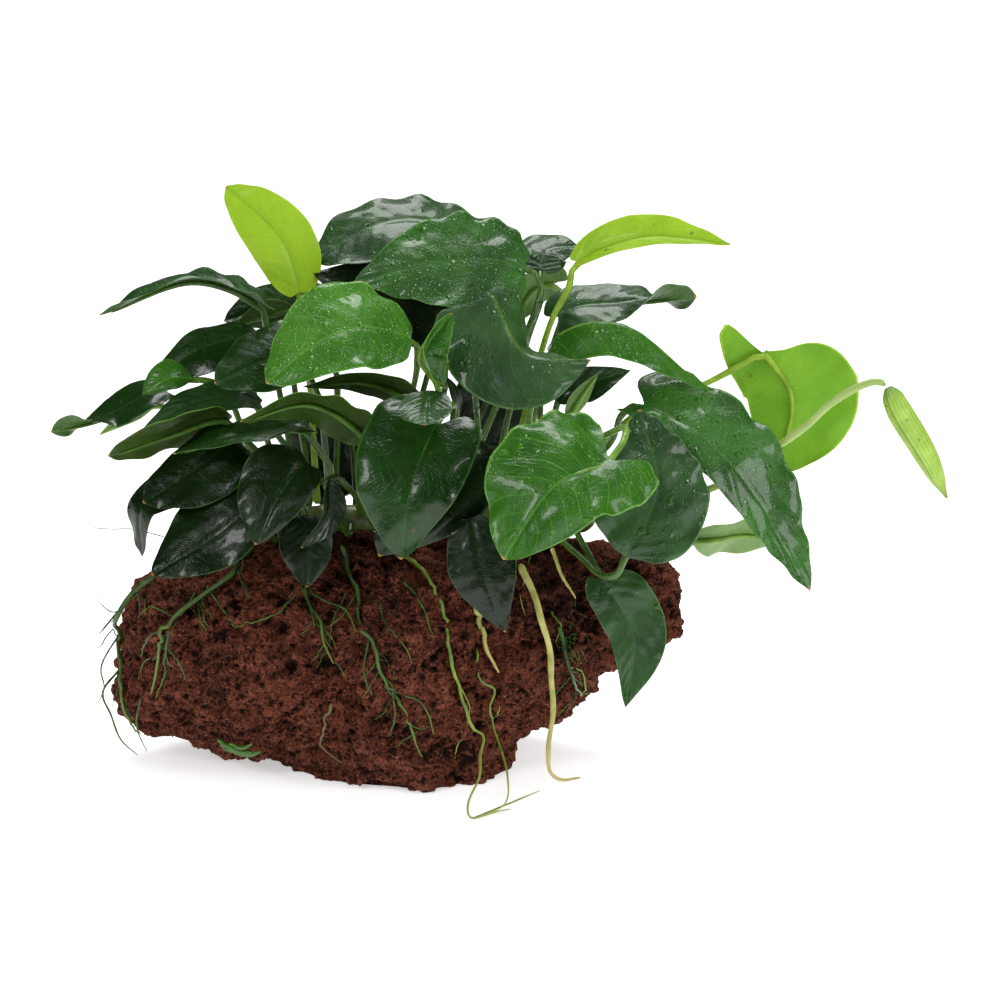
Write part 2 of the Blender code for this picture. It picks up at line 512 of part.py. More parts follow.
def main():
    for old in list(bpy.data.objects):
        bpy.data.objects.remove(old)
    stone = stone_mesh()
    skin = BVHTree.FromPolygons([Vector(p) for p in stone[0]], stone[1])
    add_object("lava_stone", stone, "stone")
    add_object("rhizome", rhizome_mesh(), "rhizome")
    for leaf in LEAVES:
        add_object(leaf.name, leaf_mesh(leaf), leaf.kind)
    add_object("peduncle", peduncle_mesh(), "spathe")
    add_object("spathe", spathe_mesh(), "spathe")
    for root in ROOTS:
        add_object(root.name, root_mesh(root, skin), "root")


main()
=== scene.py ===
"""Looks of the anubias on its lava stone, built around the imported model.

Lengths in the tables are millimetres, angles are degrees. +X is to the viewer's right, -Y is toward the
viewer and +Z is up. The origin is the middle of the stone's flat underside.
"""

import math
from dataclasses import dataclass

import bmesh
import bpy
import numpy as np
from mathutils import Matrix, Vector, noise
from mathutils.bvhtree import BVHTree


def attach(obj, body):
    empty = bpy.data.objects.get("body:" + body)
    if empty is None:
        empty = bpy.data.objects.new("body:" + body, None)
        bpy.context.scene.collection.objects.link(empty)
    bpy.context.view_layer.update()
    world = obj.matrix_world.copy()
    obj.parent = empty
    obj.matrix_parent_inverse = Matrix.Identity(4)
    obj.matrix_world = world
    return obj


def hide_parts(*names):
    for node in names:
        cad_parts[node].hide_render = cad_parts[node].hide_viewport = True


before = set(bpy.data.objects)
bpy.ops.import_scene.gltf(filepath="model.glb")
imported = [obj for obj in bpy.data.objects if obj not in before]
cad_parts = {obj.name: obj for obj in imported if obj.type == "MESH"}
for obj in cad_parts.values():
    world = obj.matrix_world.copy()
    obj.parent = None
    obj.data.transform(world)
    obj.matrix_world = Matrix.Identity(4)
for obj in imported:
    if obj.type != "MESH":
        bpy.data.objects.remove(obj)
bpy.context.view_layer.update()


MM = 0.001

GAP = 0.35


def unit(v):
    v = np.asarray(v, float)
    return v / max(np.linalg.norm(v), 1e-9)


def spline(points, per_span=16):
    """A smooth curve through the points, with per_span samples between each two of them."""
    p = [np.asarray(q, float) for q in points]
    p = [2 * p[0] - p[1]] + p + [2 * p[-1] - p[-2]]
    out = []
    for a, b, c, d in zip(p, p[1:], p[2:], p[3:]):
        ta, tb, tc = (max(np.linalg.norm(v), 1e-6) ** 0.5 for v in (b - a, c - b, d - c))
        m1 = tb * ((b - a) / ta - (c - a) / (ta + tb) + (c - b) / tb)
        m2 = tb * ((c - b) / tb - (d - b) / (tb + tc) + (d - c) / tc)
        for i in range(per_span):
            t = i / per_span
            out.append((2 * t**3 - 3 * t**2 + 1) * b + (t**3 - 2 * t**2 + t) * m1
                       + (3 * t**2 - 2 * t**3) * c + (t**3 - t**2) * m2)
    out.append(p[-2])
    return np.array(out)


def along(line, shares):
    """Points and directions at these shares of a polyline's length."""
    steps = np.linalg.norm(np.diff(line, axis=0), axis=1)
    length = np.concatenate([[0], np.cumsum(steps)])
    at = np.asarray(shares, float) * length[-1]
    reach = length[-1] * 0.02

    def point(where):
        return np.stack([np.interp(where, length, line[:, k]) for k in range(3)], 1)

    ahead = point(np.minimum(at + reach, length[-1])) - point(np.maximum(at - reach, 0))
    return point(at), ahead / np.linalg.norm(ahead, axis=1)[:, None], length[-1]


def profile(s, knots, values):
    """A smooth line through (knots, values), read at s."""
    k, v = np.asarray(knots, float), np.asarray(values, float)
    slope = np.gradient(v, k)
    i = np.clip(np.searchsorted(k, s) - 1, 0, len(k) - 2)
    h = k[i + 1] - k[i]
    t = (s - k[i]) / h
    return ((2 * t**3 - 3 * t**2 + 1) * v[i] + (t**3 - 2 * t**2 + t) * h * slope[i]
            + (3 * t**2 - 2 * t**3) * v[i + 1] + (t**3 - t**2) * h * slope[i + 1])


@dataclass
class Leaf:
    """One leaf: where its stalk leaves the rhizome, and how its blade lies."""
    name: str
    kind: str
    root: tuple            # share of the rhizome's length, angle round it (0 viewer side, 90 up)
    via: list              # points the stalk passes
    base: tuple            # where the stalk meets the blade
    middle: tuple
    tip: tuple
    face: tuple            # the way the upper side looks: at base, middle and tip
    width: tuple           # left and right half widths, seen from above with the tip ahead
    fold: tuple = (8, 8)   # how far each half lifts from flat
    lobe: object = 0.15    # how far the lobes reach behind the stalk, as a share of the length; or one for each side
    full: object = None    # 0 is a base that tapers to the stalk, 1 a heart-shaped one; from the lobe if not given
    blunt: float = 0.2     # 0 is a drawn-out tip, 1 a round one
    roll: float = 0.12     # how much the margins turn down
    bent: bool = False     # the blade turns sharply away from the stalk


STALK_RADIUS = 1.25

BASE_KNOTS = (0, 0.02, 0.06, 0.14, 0.26, 0.40)

NARROW_BASE = (0.06, 0.14, 0.30, 0.58, 0.85, 1.0)

HEART_BASE = (0.06, 0.36, 0.68, 0.93, 1.0, 0.99)

TIP_KNOTS = (0.40, 0.56, 0.72, 0.86, 0.95, 1.0)

SHARP_TIP = (1.0, 0.83, 0.56, 0.28, 0.10, 0.0)

BLUNT_TIP = (1.0, 0.98, 0.86, 0.60, 0.34, 0.0)

LOBE_KNOTS = (0, 0.02, 0.06, 0.14, 0.26, 0.45, 1.0)

LOBE_REACH = (0, 0.75, 1.0, 0.82, 0.45, 0.12, 0)


def of_side(value, v):
    """The value for the side of v, where one number may stand for both."""
    return value[int(v > 0)] if isinstance(value, tuple) else value


def half_width(leaf, s, v):
    """The blade's half width at s along its midrib, as a share of the widest, on the side of v."""
    full = of_side(leaf.full, v)
    heart = min(1.0, of_side(leaf.lobe, v) / 0.12) if full is None else full
    near = heart * profile(s, BASE_KNOTS, HEART_BASE) + (1 - heart) * profile(s, BASE_KNOTS, NARROW_BASE)
    far = leaf.blunt * profile(s, TIP_KNOTS, BLUNT_TIP) + (1 - leaf.blunt) * profile(s, TIP_KNOTS, SHARP_TIP)
    return np.where(s < 0.40, near, far)


def leaf_lines(leaf):
    """The stalk's line and the midrib's line, as dense polylines."""
    share, angle = leaf.root
    start, out = rhizome_skin(share, angle)
    knee = start + out * 9
    points = [start, knee] + [np.array(p, float) for p in leaf.via] + [leaf.base, leaf.middle, leaf.tip]
    if leaf.bent:
        return spline(points[:-2]), spline(points[-3:])
    line = spline(points)
    split = 16 * (len(points) - 3)
    return line[:split + 1], line[split:]


def face_at(leaf, s, tangent):
    """Upward and sideways directions of the blade at s."""
    base, middle, tip = (unit(f) for f in leaf.face)
    look = np.where(s[:, None] < 0.5, base + (middle - base) * s[:, None] * 2,
                    middle + (tip - middle) * (s[:, None] * 2 - 1))
    look = look - (look * tangent).sum(1)[:, None] * tangent
    look /= np.linalg.norm(look, axis=1)[:, None]
    return look, np.cross(tangent, look)


def blade_points(leaf, line, s, u):
    """The blade's upper skin over the grid of s (stalk to tip) and u (-1 left margin to 1 right margin)."""
    point, tangent, length = along(line, s)
    up, side = face_at(leaf, s, tangent)
    rows = []
    for v in u:
        wide = half_width(leaf, s, v)
        back = profile(s, LOBE_KNOTS, LOBE_REACH) * of_side(leaf.lobe, v) * length
        width = leaf.width[1] if v > 0 else leaf.width[0]
        fold = math.radians(leaf.fold[1] if v > 0 else leaf.fold[0])
        reach = abs(v) * wide * width
        lift = reach * math.sin(fold) - leaf.roll * width * wide * v * v
        across = math.copysign(1, v) * reach * math.cos(fold)
        rows.append(point + across[:, None] * side + lift[:, None] * up
                    - (back * abs(v) ** 1.5)[:, None] * tangent)
    return np.stack(rows, 1), up


RHIZOME_PATH = [(-54, 4, 98), (-30, 0, 100), (5, -3, 101), (40, -1, 101), (78, 2, 99)]

RHIZOME_RADIUS = 5.2


def rhizome_skin(share, angle):
    """A point just off the rhizome's skin, and the direction away from its middle."""
    centre, tangent, _ = along(spline(RHIZOME_PATH), [share])
    front = unit(np.cross(tangent[0], (0, 0, 1)))
    up = np.cross(front, tangent[0])
    a = math.radians(angle)
    out = math.cos(a) * front + math.sin(a) * up
    return centre[0] + out * (RHIZOME_RADIUS * 1.08 + GAP), out


# The stone's outline seen from the viewer's side, clockwise from the top middle: (x, z).
STONE_OUTLINE = [(0, 93), (40, 93), (80, 92), (108, 86), (116, 70), (114, 57), (99, 46), (84, 36), (69, 21),
                 (56, 9), (44, -2), (10, -18), (-22, -13), (-50, 0), (-80, 6), (-97, 12), (-113, 22),
                 (-117, 42), (-117, 58), (-106, 72), (-88, 84), (-56, 91)]

STONE_MIDDLE = (0, 46)

STONE_DEPTH = 50

STONE_STRETCH = (2.0, 1.0, 1.0)

STONE_SQUARENESS = 2.6


def stone_skin(points):
    """Moves the points of a unit sphere to the stone's skin."""
    ring = spline([(x, 0, z) for x, z in STONE_OUTLINE + STONE_OUTLINE[:1]], 8)
    ring_x, ring_z = ring[:, 0] - STONE_MIDDLE[0], ring[:, 2] - STONE_MIDDLE[1]
    bearing = np.arctan2(ring_z, ring_x)
    order = np.argsort(bearing)
    d = points * STONE_STRETCH
    d = d / np.linalg.norm(d, axis=1)[:, None]
    rim = np.interp(np.arctan2(d[:, 2], d[:, 0]), bearing[order], np.hypot(ring_x, ring_z)[order], period=2 * math.pi)
    flat = (np.hypot(d[:, 0], d[:, 2]) / rim) ** STONE_SQUARENESS
    deep = (np.abs(d[:, 1]) / STONE_DEPTH) ** STONE_SQUARENESS
    p = d * ((flat + deep) ** (-1 / STONE_SQUARENESS))[:, None]
    p[:, 1] *= 1 - 0.28 * (p[:, 0] / 116) ** 2
    out = p * (0.6, 1.4, 1.0)
    out = out / np.linalg.norm(out, axis=1)[:, None]
    p = p + (STONE_MIDDLE[0], 0, STONE_MIDDLE[1])
    x, y, z = p.T
    lump = (1.8 * np.sin(0.09 * x + 1.3) * np.sin(0.11 * y + 0.6) + 1.5 * np.sin(0.13 * z + 0.07 * x)
            + 1.0 * np.sin(0.23 * x + 0.19 * y + 0.17 * z))
    hollow = np.where(y < 0, 9 * np.exp(-((x - 66) ** 2 + (z - 74) ** 2) / 260), 0)
    p = p + out * (lump - hollow - 1.5)[:, None]
    p[:, 2] = np.maximum(p[:, 2], 0)
    return p


@dataclass
class Root:
    """A root: points as (x, z) where it lies on the stone's front, or (x, y, z) where it hangs free."""
    name: str
    points: list
    radius: float
    rings: int = 9


PEDUNCLE_START = (0.94, 40)

PEDUNCLE_PATH = [(104, -20, 116), (122, -22, 118), (145, -22, 133), (159, -24, 144), (168, -24, 152.5),
                 (175, -24, 157.5), (180.5, -24, 160.2), (185, -24, 161.5), (188, -24, 161.2), (189.5, -24, 160.3)]

PEDUNCLE_RADIUS = 1.5

SPATHE_PATH = [(190.5, -24, 159.2), (195, -25, 150), (205, -25, 134), (215, -24, 115)]

SPATHE_SHARES = (0, 0.05, 0.15, 0.32, 0.5, 0.68, 0.84, 0.95, 1)

SPATHE_RADII = (1.6, 3.6, 4.8, 5.2, 5.0, 4.4, 3.0, 1.2, 0.5)


def same(x, y, z):
    return ((x, y, z),) * 3


LEAVES = [
    Leaf("leaf_young_upright", "young", (0.16, 100), [], (-39, 5, 191), (-46, 8, 212), (-68, 14, 232),
         same(0.2, -0.95, 0.2), (14, 13), (12, 12), 0.05, blunt=0.75),
    Leaf("leaf_arched_left", "old", (0.10, 100), [(-50, 3, 165), (-52, -1, 179)], (-55, -4, 189.5), (-79, -8, 199),
         (-116, -14, 186), ((-0.7, -0.2, 0.7), (0, -0.1, 1), (-0.3, -0.1, 0.95)), (17, 16), (26, 5), 0.12, blunt=0),
    Leaf("leaf_round_left", "mid", (0.20, 150), [], (-31, 23, 178), (-52, 19, 182), (-70, 13, 178),
         same(0, -0.75, 0.65), (12, 12), (10, 10), 0.2, blunt=0.5),
    Leaf("leaf_sliver_left", "old", (0.12, 150), [(-43, 12, 160)], (-42, 10, 183), (-52, 8, 182), (-65, 4, 178),
         same(0, 0.85, 0.5), (7, 6), (10, 10), 0),
    Leaf("leaf_bright_left", "mid", (0.38, 60), [(8, -24, 169)], (6, -30, 180), (-20, -48, 187), (-48, -60, 169),
         ((0.1, -0.75, 0.65), (-0.1, -0.78, 0.62), (-0.4, -0.75, 0.5)), (19, 23), (5, 0), 0.04, 0.3, 0.6),
    Leaf("leaf_back_top", "old", (0.40, 140), [], (18, 30, 211), (-6, 26, 216), (-35, 14, 202),
         ((0, -0.5, 0.86), (-0.1, -0.6, 0.8), (-0.4, -0.6, 0.7)), (20, 15), (5, 0), 0.3, blunt=0.9),
    Leaf("leaf_crown", "old", (0.62, 110), [(50, -2, 175), (56, 4, 194)], (50, 2, 202), (17, -8, 206),
         (-17, -16, 199), ((0, -0.7, 0.7), (0, -0.72, 0.69), (-0.2, -0.72, 0.66)), (25, 23), (5, 5), 0.05, 0.7, 0.1),
    Leaf("leaf_centre_oval", "old", (0.66, 45), [(30, -20, 170)], (35, -30, 198), (49, -40, 177), (75, -36, 173),
         ((-0.1, -0.8, 0.6), (-0.1, -0.75, 0.66), (0.2, -0.75, 0.6)), (16, 27), (-50, 0), 0.1),
    Leaf("leaf_twisted_small", "mid", (0.47, 40), [(14, -34, 148)], (18, -51, 166), (11, -57, 179), (22, -50, 194),
         ((0.75, -0.6, 0.2), (0.7, -0.6, 0.3), (0.5, -0.6, 0.6)), (11, 11), (55, 30), 0.02, 0.2, 0.4),
    Leaf("leaf_mirror_small", "old", (0.43, 10), [(6, -38, 142)], (13, -58, 166), (12, -69, 162), (12, -80, 158),
         same(0, -0.5, 0.86), (10, 10), (0, 0), 0, 0.5, 1),
    Leaf("leaf_front_heart", "old", (0.52, 20), [(22, -44, 152), (22, -52, 159)], (16, -62, 154), (7, -80, 134),
         (3, -84, 107), ((0, -0.8, 0.6), (-0.05, -0.95, 0.3), (0, -1, 0.05)), (19, 24), (5, 5), 0.2, blunt=0.25),
    Leaf("leaf_under_heart", "old", (0.60, 20), [], (27, -49, 148), (13, -63, 130), (-6, -69, 104),
         ((0, -0.9, 0.4), (0, -0.95, 0.3), (0, -1, 0.1)), (23, 22), (0, 0), (0.12, 0), (0.8, 0)),
    Leaf("leaf_arched_right", "mid", (0.78, 85), [], (60, -14, 176), (86, -22, 184.5), (122, -32, 159),
         ((-0.3, -0.6, 0.75), (0.1, -0.6, 0.8), (0.4, -0.5, 0.75)), (9, 15), (-60, -10), 0.12, blunt=0),
    Leaf("leaf_young_right", "young", (0.74, 90), [(60, 0, 180), (67, 4, 193)], (70, 6, 203), (98, 2, 214.5), (130, -4, 212),
         same(0, -0.8, 0.6), (10, 6), (10, 25), 0.05),
    Leaf("leaf_back_small", "old", (0.70, 120), [(50, 8, 168), (56, 16, 186)], (56, 26, 196.5), (59, 33, 203), (72, 39, 204),
         same(0, -0.5, 0.86), (13, 10), (0, 0), 0.1, blunt=0.3),
    Leaf("leaf_pale_back", "mid", (0.75, 165), [(65, 36, 176)], (62, 36, 189), (53, 34, 187), (46, 30, 174),
         same(0, 0.8, 0.6), (10, 9), (0, 0), 0.2, blunt=0.3),
    Leaf("leaf_dark_twist", "old", (0.84, 140), [], (63, 10, 180), (89, 12, 186), (118, 8, 189),
         ((0, -0.6, 0.8), (0, -0.4, 0.92), (0.2, 0.95, 0.3)), (12, 14), (10, 10), 0.1, blunt=1),
    Leaf("leaf_pale_right", "young", (0.93, 120), [(96, 2, 144), (121, -3, 156), (134, -3, 163)], (144, 1, 168), (156, 4, 149),
         (150, 0, 118), ((0, 0.97, -0.2), (0.05, 1, 0), (0, 0.97, -0.2)), (19, 28), (12, 12), (0.38, 0),
         (0.3, -0.3), 0.5, bent=True),
    Leaf("leaf_wet_right", "old", (0.92, 75), [(84, -22, 138), (87, -28, 149)], (95, -34, 155), (127, -50, 137),
         (159, -58, 87), ((0.2, -0.75, 0.65), (0.1, -0.78, 0.62), (0.4, -0.85, 0.35)), (24, 12), (-5, 10), 0.12,
         blunt=0.35),
    Leaf("leaf_grey_heart", "old", (0.83, 5), [(64, -44, 103), (72, -56, 99), (78, -66, 96), (84, -73, 98)],
         (87, -76, 106), (99, -70, 130), (93, -50, 157), ((0, -0.9, 0.4), (0.1, -0.95, 0.3), (0, -0.7, 0.7)),
         (25, 21), (5, 0), 0, 0.6),
    Leaf("leaf_bright_front", "mid", (0.74, 45), [(87, -64, 153)], (81, -84, 146), (61, -100, 141), (41, -108, 114),
         ((-0.1, -0.75, 0.65), (-0.1, -0.8, 0.6), (-0.2, -0.85, 0.4)), (21, 29), (5, 0), (0.24, 0.25), blunt=0.45),
    Leaf("leaf_low_right", "old", (0.92, 0), [(69, -45, 108), (75, -53, 98)], (79, -58, 92), (91, -64, 71), (88, -70, 44),
         ((0, -1, 0.1), (0, -1, 0.1), (0, -1, -0.05)), (14, 10), (10, 5), (0.02, 0.1), (1, 0.8), 0.1),
    Leaf("leaf_low_centre", "old", (0.56, 0), [(30, -66, 108)], (29, -70, 119.5), (34, -78, 99), (42, -79, 77),
         same(0, -1, 0.2), (14, 13), (0, 0), 0.04, blunt=0.1),
    Leaf("leaf_pale_low", "mid", (0.97, 30), [], (114, -28, 100), (137, -18, 99), (158, -14, 94),
         same(0, 0.7, 0.7), (16, 13), (0, 10), 0),
    Leaf("leaf_small_inner", "old", (0.88, 110), [], (62, -8, 151), (77, -2, 156.5), (92, 4, 160),
         same(0, -0.8, 0.6), (8, 8), (20, 10), 0.05, blunt=0),
    Leaf("leaf_pale_inner", "mid", (0.84, 40), [], (66, -20, 145), (71, -21, 155), (78, -22, 165),
         same(-0.3, 0.9, 0.3), (4, 4), (0, 0), 0),
    Leaf("leaf_dark_left", "old", (0.22, 40), [], (-36, -26, 175), (-51, -34, 172), (-69, -42, 165),
         same(-0.1, -0.75, 0.65), (14, 15), (0, 0), 0.12, blunt=0.5),
    Leaf("leaf_large_left", "old", (0.05, 95), [(-58, -5, 160)], (-56, -7, 174.5), (-75, -12, 173.5),
         (-97, -20, 159.5), same(0, -0.7, 0.7), (14, 9), (10, 0), 0.06, blunt=0.3),
    Leaf("leaf_curled_left", "mid", (0.02, 45), [(-68, -14, 156)], (-79, -22.5, 162.5), (-88, -28, 164), (-98, -30, 158),
         same(0, -0.85, 0.5), (5, 8), (0, 0), 0, blunt=0.5),
    Leaf("leaf_far_left", "old", (0.02, 130), [], (-91, -6, 154), (-115, -10, 145), (-136, -18, 140),
         ((-0.2, -0.6, 0.8), (0, -0.3, 0.95), (0, 0.95, 0.2)), (12, 10), (10, 10), 0.05, blunt=0.6),
    Leaf("leaf_pale_left", "mid", (0.04, 160), [], (-94, 6, 146), (-108, 8, 140), (-121, 10, 132),
         same(0, 0.95, 0.3), (4, 3), (0, 0), 0),
    Leaf("leaf_streaked_left", "old", (0.15, 20), [], (-53, -22, 152.5), (-76, -30.5, 156), (-98, -36, 145.5),
         same(0, -0.4, 0.92), (11, 10), (10, 10), 0.05, blunt=0.1),
    Leaf("leaf_olive_left", "mid", (0.10, 15), [], (-64, -32, 149), (-87, -40, 145), (-110, -48, 138),
         same(0, 0.6, 0.8), (18, 13), (0, 0), 0, 0.3, 1),
    Leaf("leaf_rimmed_left", "old", (0.24, 5), [], (-32, -42, 147), (-59, -50, 147), (-84, -56, 141),
         same(0, -0.15, 0.98), (11, 13), (10, 10), 0.05, blunt=0),
    Leaf("leaf_olive_big", "mid", (0.30, 40), [], (-11, -46, 145), (-32, -56, 161), (-58, -62, 155),
         ((0.2, 0.65, 0.75), (0, 0.6, 0.8), (-0.3, 0.6, 0.75)), (14, 14), (0, 0), 0.1, blunt=0.3),
    Leaf("leaf_olive_strip", "mid", (0.34, 30), [], (6, -38, 156), (-10, -42, 166), (-35, -46, 165),
         ((0.3, 0.7, 0.65), (0, 0.65, 0.75), (-0.2, 0.65, 0.75)), (10, 9), (0, 0), 0.1),
    Leaf("leaf_shade_upper", "old", (0.05, 10), [], (-60, -40, 142), (-78, -49, 132), (-96, -57, 122),
         same(-0.2, -0.75, 0.65), (17, 14), (0, 0), 0.1, blunt=0.5),
    Leaf("leaf_shade_pale", "mid", (0.06, -20), [], (-68, -40, 126), (-97, -47, 119), (-98, -49, 98),
         ((-0.3, -0.5, 0.8), (-0.6, -0.6, 0.55), (-0.8, -0.6, 0.1)), (10, 11), (0, 0), 0.03, blunt=0.4),
    Leaf("leaf_shade_low", "old", (0.13, -15), [], (-51, -54, 121), (-71, -64, 109), (-92, -70, 97),
         same(-0.1, -0.8, 0.6), (14, 20), (0, 0), 0.04, blunt=0.4),
    Leaf("leaf_shade_round", "old", (0.27, -10), [], (-33, -54, 137), (-43, -66, 128), (-52, -74, 110),
         ((-0.1, -0.85, 0.5), (-0.1, -0.9, 0.4), (0, -1, 0.1)), (11, 18), (5, 5), 0.08, blunt=0.4),
    Leaf("leaf_shade_narrow", "mid", (0.37, -10), [(-18, -50, 126)], (-24, -60, 133), (-25, -64, 119),
         (-35, -68, 107), same(0.4, -0.9, 0.2), (7, 4), (30, 40), 0),
    Leaf("leaf_shade_inner", "old", (0.20, -20), [], (-35, -46, 114), (-34, -52, 102), (-34, -56, 88),
         same(0, -1, 0.2), (10, 11), (0, 0), 0.05, blunt=0.5),
    Leaf("leaf_edge_on", "mid", (0.54, 80), [], (25, -38, 153), (23, -40, 162), (19, -40, 168),
         same(0.8, -0.5, 0.3), (4, 3), (0, 0), 0),
    Leaf("leaf_rear_left", "old", (0.26, 172), [], (-22, 23, 135), (-28, 25, 116), (-34, 32, 97),
         same(0, -0.93, 0.35), (20, 22), (5, 5), 0.15),
    Leaf("leaf_rear_middle", "old", (0.55, 165), [], (41, 30, 154), (35, 32, 132), (31, 35, 101),
         same(0, -0.93, 0.35), (17, 16), (5, 5), 0.15),
    Leaf("leaf_rear_high", "old", (0.45, 140), [], (20, 10, 174), (-4, 8, 189), (-34, 6, 199),
         same(0, -0.75, 0.65), (17, 17), (5, 5), 0.15),
]

ROOTS = [
    Root("root_left_outer", [(-96, 83), (-106, 75), (-112, 66), (-113, 50), (-112, 36), (-110, 24), (-104, 14)], 1.2),
    Root("root_left_cut", [(-58, 93), (-64, 86), (-78, 76), (-89, 66), (-95, 52), (-98, 36)], 1.3),
    Root("root_front_left", [(-42, 90), (-36, 78), (-29, 64), (-24, 55)], 0.9),
    Root("root_front_middle", [(-23, 95), (-20, 88), (-15, 76), (-8, 60), (-5, 48), (0, 41), (5, 28), (9, 15)], 1.0,
         11),
    Root("root_to_floor", [(-2, 90), (6, 89), (13, 84), (18, 73), (20, 66), (21, 52), (24, 46), (26, 38), (29, 28),
                           (33, 21), (31, -58, 11), (28, -74, 1.2), (44, -66, 1.2)], 0.9, 16),
    Root("root_pale_thick", [(29, 81), (32, 71), (35, 59), (39, 50)], 1.3, 6),
    Root("root_long_hanging", [(48, -54, 97), (56, -62, 76), (60, -66, 50), (59, -68, 26), (60, -62, 15), (64, -57, 10),
                               (72, -53, 9)], 1.5, 12),
    Root("root_right", [(63, 66), (68, 46), (72, 32)], 0.9, 7),
    Root("root_pale_right", [(60, -47, 101), (64, -52, 92), (69, -52, 82)], 0.9, 5),
    Root("root_tan", [(-26, 38), (-29, 31), (-30, 17), (-22, 10)], 0.8, 7),
]


# ------------------------------------------------------------------ node helpers

class Nodes:
    """Short ways to build a material's nodes. A value given to a node may be a number or another node's output."""

    def __init__(self, name):
        self.material = bpy.data.materials.new(name)
        self.material.use_nodes = True
        self.tree = self.material.node_tree
        self.shader = self.tree.nodes["Principled BSDF"]

    def add(self, kind, values=None, out=0, **settings):
        node = self.tree.nodes.new("ShaderNode" + kind)
        for key, value in settings.items():
            setattr(node, key, value)
        for key, value in (values or {}).items():
            self.put(node.inputs[key], value)
        return node.outputs[out]

    def put(self, socket, value):
        if isinstance(value, bpy.types.NodeSocket):
            self.tree.links.new(value, socket)
        else:
            socket.default_value = value

    def math(self, operation, a, b=0.0, c=0.0):
        return self.add("Math", {0: a, 1: b, 2: c}, operation=operation)

    def step(self, value, low, high, start=0.0, end=1.0):
        return self.add("MapRange", {0: value, 1: low, 2: high, 3: start, 4: end}, interpolation_type="SMOOTHSTEP")

    def mix(self, share, a, b, blend="MIX"):
        paint = [(*v, 1.0) if isinstance(v, tuple) and len(v) == 3 else v for v in (a, b)]
        return self.add("Mix", {0: share, 6: paint[0], 7: paint[1]}, out=2, data_type="RGBA", blend_type=blend)

    def blend(self, share, a, b):
        return self.add("Mix", {0: share, 2: a, 3: b}, data_type="FLOAT")

    def noise(self, place, size, detail=2.0, roughness=0.5):
        return self.add("TexNoise", {"Vector": place, "Scale": 1 / size, "Detail": detail, "Roughness": roughness})

    def cells(self, place, size, feature="F1", randomness=1.0, out=0):
        return self.add("TexVoronoi", {"Vector": place, "Scale": 1 / size, "Randomness": randomness}, out=out,
                        feature=feature)

    def place_mm(self):
        """The point on the piece, in millimetres."""
        where = self.add("TexCoord", out=3)
        return self.add("VectorMath", {0: where, "Scale": 1000.0}, operation="SCALE")

    def attribute(self, name):
        return self.add("Attribute", out=1, attribute_name=name)

    def split(self, vector):
        node = self.tree.nodes.new("ShaderNodeSeparateXYZ")
        self.put(node.inputs[0], vector)
        return node.outputs

    def bump(self, height, depth_mm, strength=1.0, under=None):
        values = {"Height": height, "Distance": depth_mm * MM, "Strength": strength}
        if under is not None:
            values["Normal"] = under
        return self.add("Bump", values)

    def finish(self, **values):
        for key, value in values.items():
            self.put(self.shader.inputs[key.replace("_", " ")], value)
        return self.material


# ------------------------------------------------------------------ mesh helpers

def ripple(points, size, seed):
    """Smooth pseudo-random waves of about this size, from -1 to 1."""
    p = np.asarray(points) * (2 * math.pi / size)
    total = 0
    for k in range(4):
        a, b, c = (math.sin(seed * 1.7 + k * 2.1 + j * 1.3) for j in range(3))
        total = total + np.sin(p[..., 0] * a + p[..., 1] * b + p[..., 2] * c + seed * 3.1 + k * 1.9)
    return total / 4


def new_piece(name, points, faces, paint, nodes=(), smooth=True, maps=None):
    """A mesh object from points in millimetres, riding on the one body."""
    mesh = bpy.data.meshes.new(name)
    mesh.from_pydata((np.asarray(points, float) * MM).tolist(), [], [tuple(int(i) for i in f) for f in faces])
    mesh.polygons.foreach_set("use_smooth", [smooth] * len(mesh.polygons))
    for key, values in (maps or {}).items():
        mesh.attributes.new(key, "FLOAT_VECTOR", "POINT").data.foreach_set("vector", np.asarray(values, np.float32).ravel())
    mesh.update()
    piece = bpy.data.objects.new(name, mesh)
    bpy.context.scene.collection.objects.link(piece)
    mesh.materials.append(paint)
    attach(piece, "root")
    if nodes:
        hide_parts(*nodes)
    return piece


def grid_faces(rows, columns, start=0, flip=False, wrap=False):
    """Quads over a grid of points laid row by row."""
    faces = []
    for k in range(rows - 1):
        for i in range(columns if wrap else columns - 1):
            j = (i + 1) % columns
            quad = (start + k * columns + i, start + k * columns + j, start + (k + 1) * columns + j,
                    start + (k + 1) * columns + i)
            faces.append(quad[::-1] if flip else quad)
    return faces


def rod(line, shares, radii, sides, first=None, squash=None):
    """A closed rod of varying radius along a line: its points and faces."""
    centre, tangent, _ = along(line, shares)
    side = unit(np.cross(tangent[0], (0.3, 0.2, 1.0))) if first is None else first
    turn = np.linspace(0, 2 * math.pi, sides, endpoint=False)
    points = []
    for c, t, r in zip(centre, tangent, radii):
        side = unit(side - side.dot(t) * t)
        up = np.cross(t, side)
        points.append(c + r * (np.cos(turn)[:, None] * side + np.sin(turn)[:, None] * up))
    faces = grid_faces(len(points), sides, wrap=True)
    faces.append(tuple(range(sides))[::-1])
    last = (len(points) - 1) * sides
    faces.append(tuple(range(last, last + sides)))
    return np.concatenate(points), faces


def round_ends(shares, radii, sharp=0.006):
    """The radii, drawn in at both ends so that the rod ends round."""
    near = np.clip(shares / sharp, 0, 1)
    far = np.clip((1 - shares) / sharp, 0, 1)
    return np.asarray(radii) * np.sqrt(1 - (1 - near) ** 2 * 0.9) * np.sqrt(1 - (1 - far) ** 2 * 0.9)


# ------------------------------------------------------------------ leaf looks

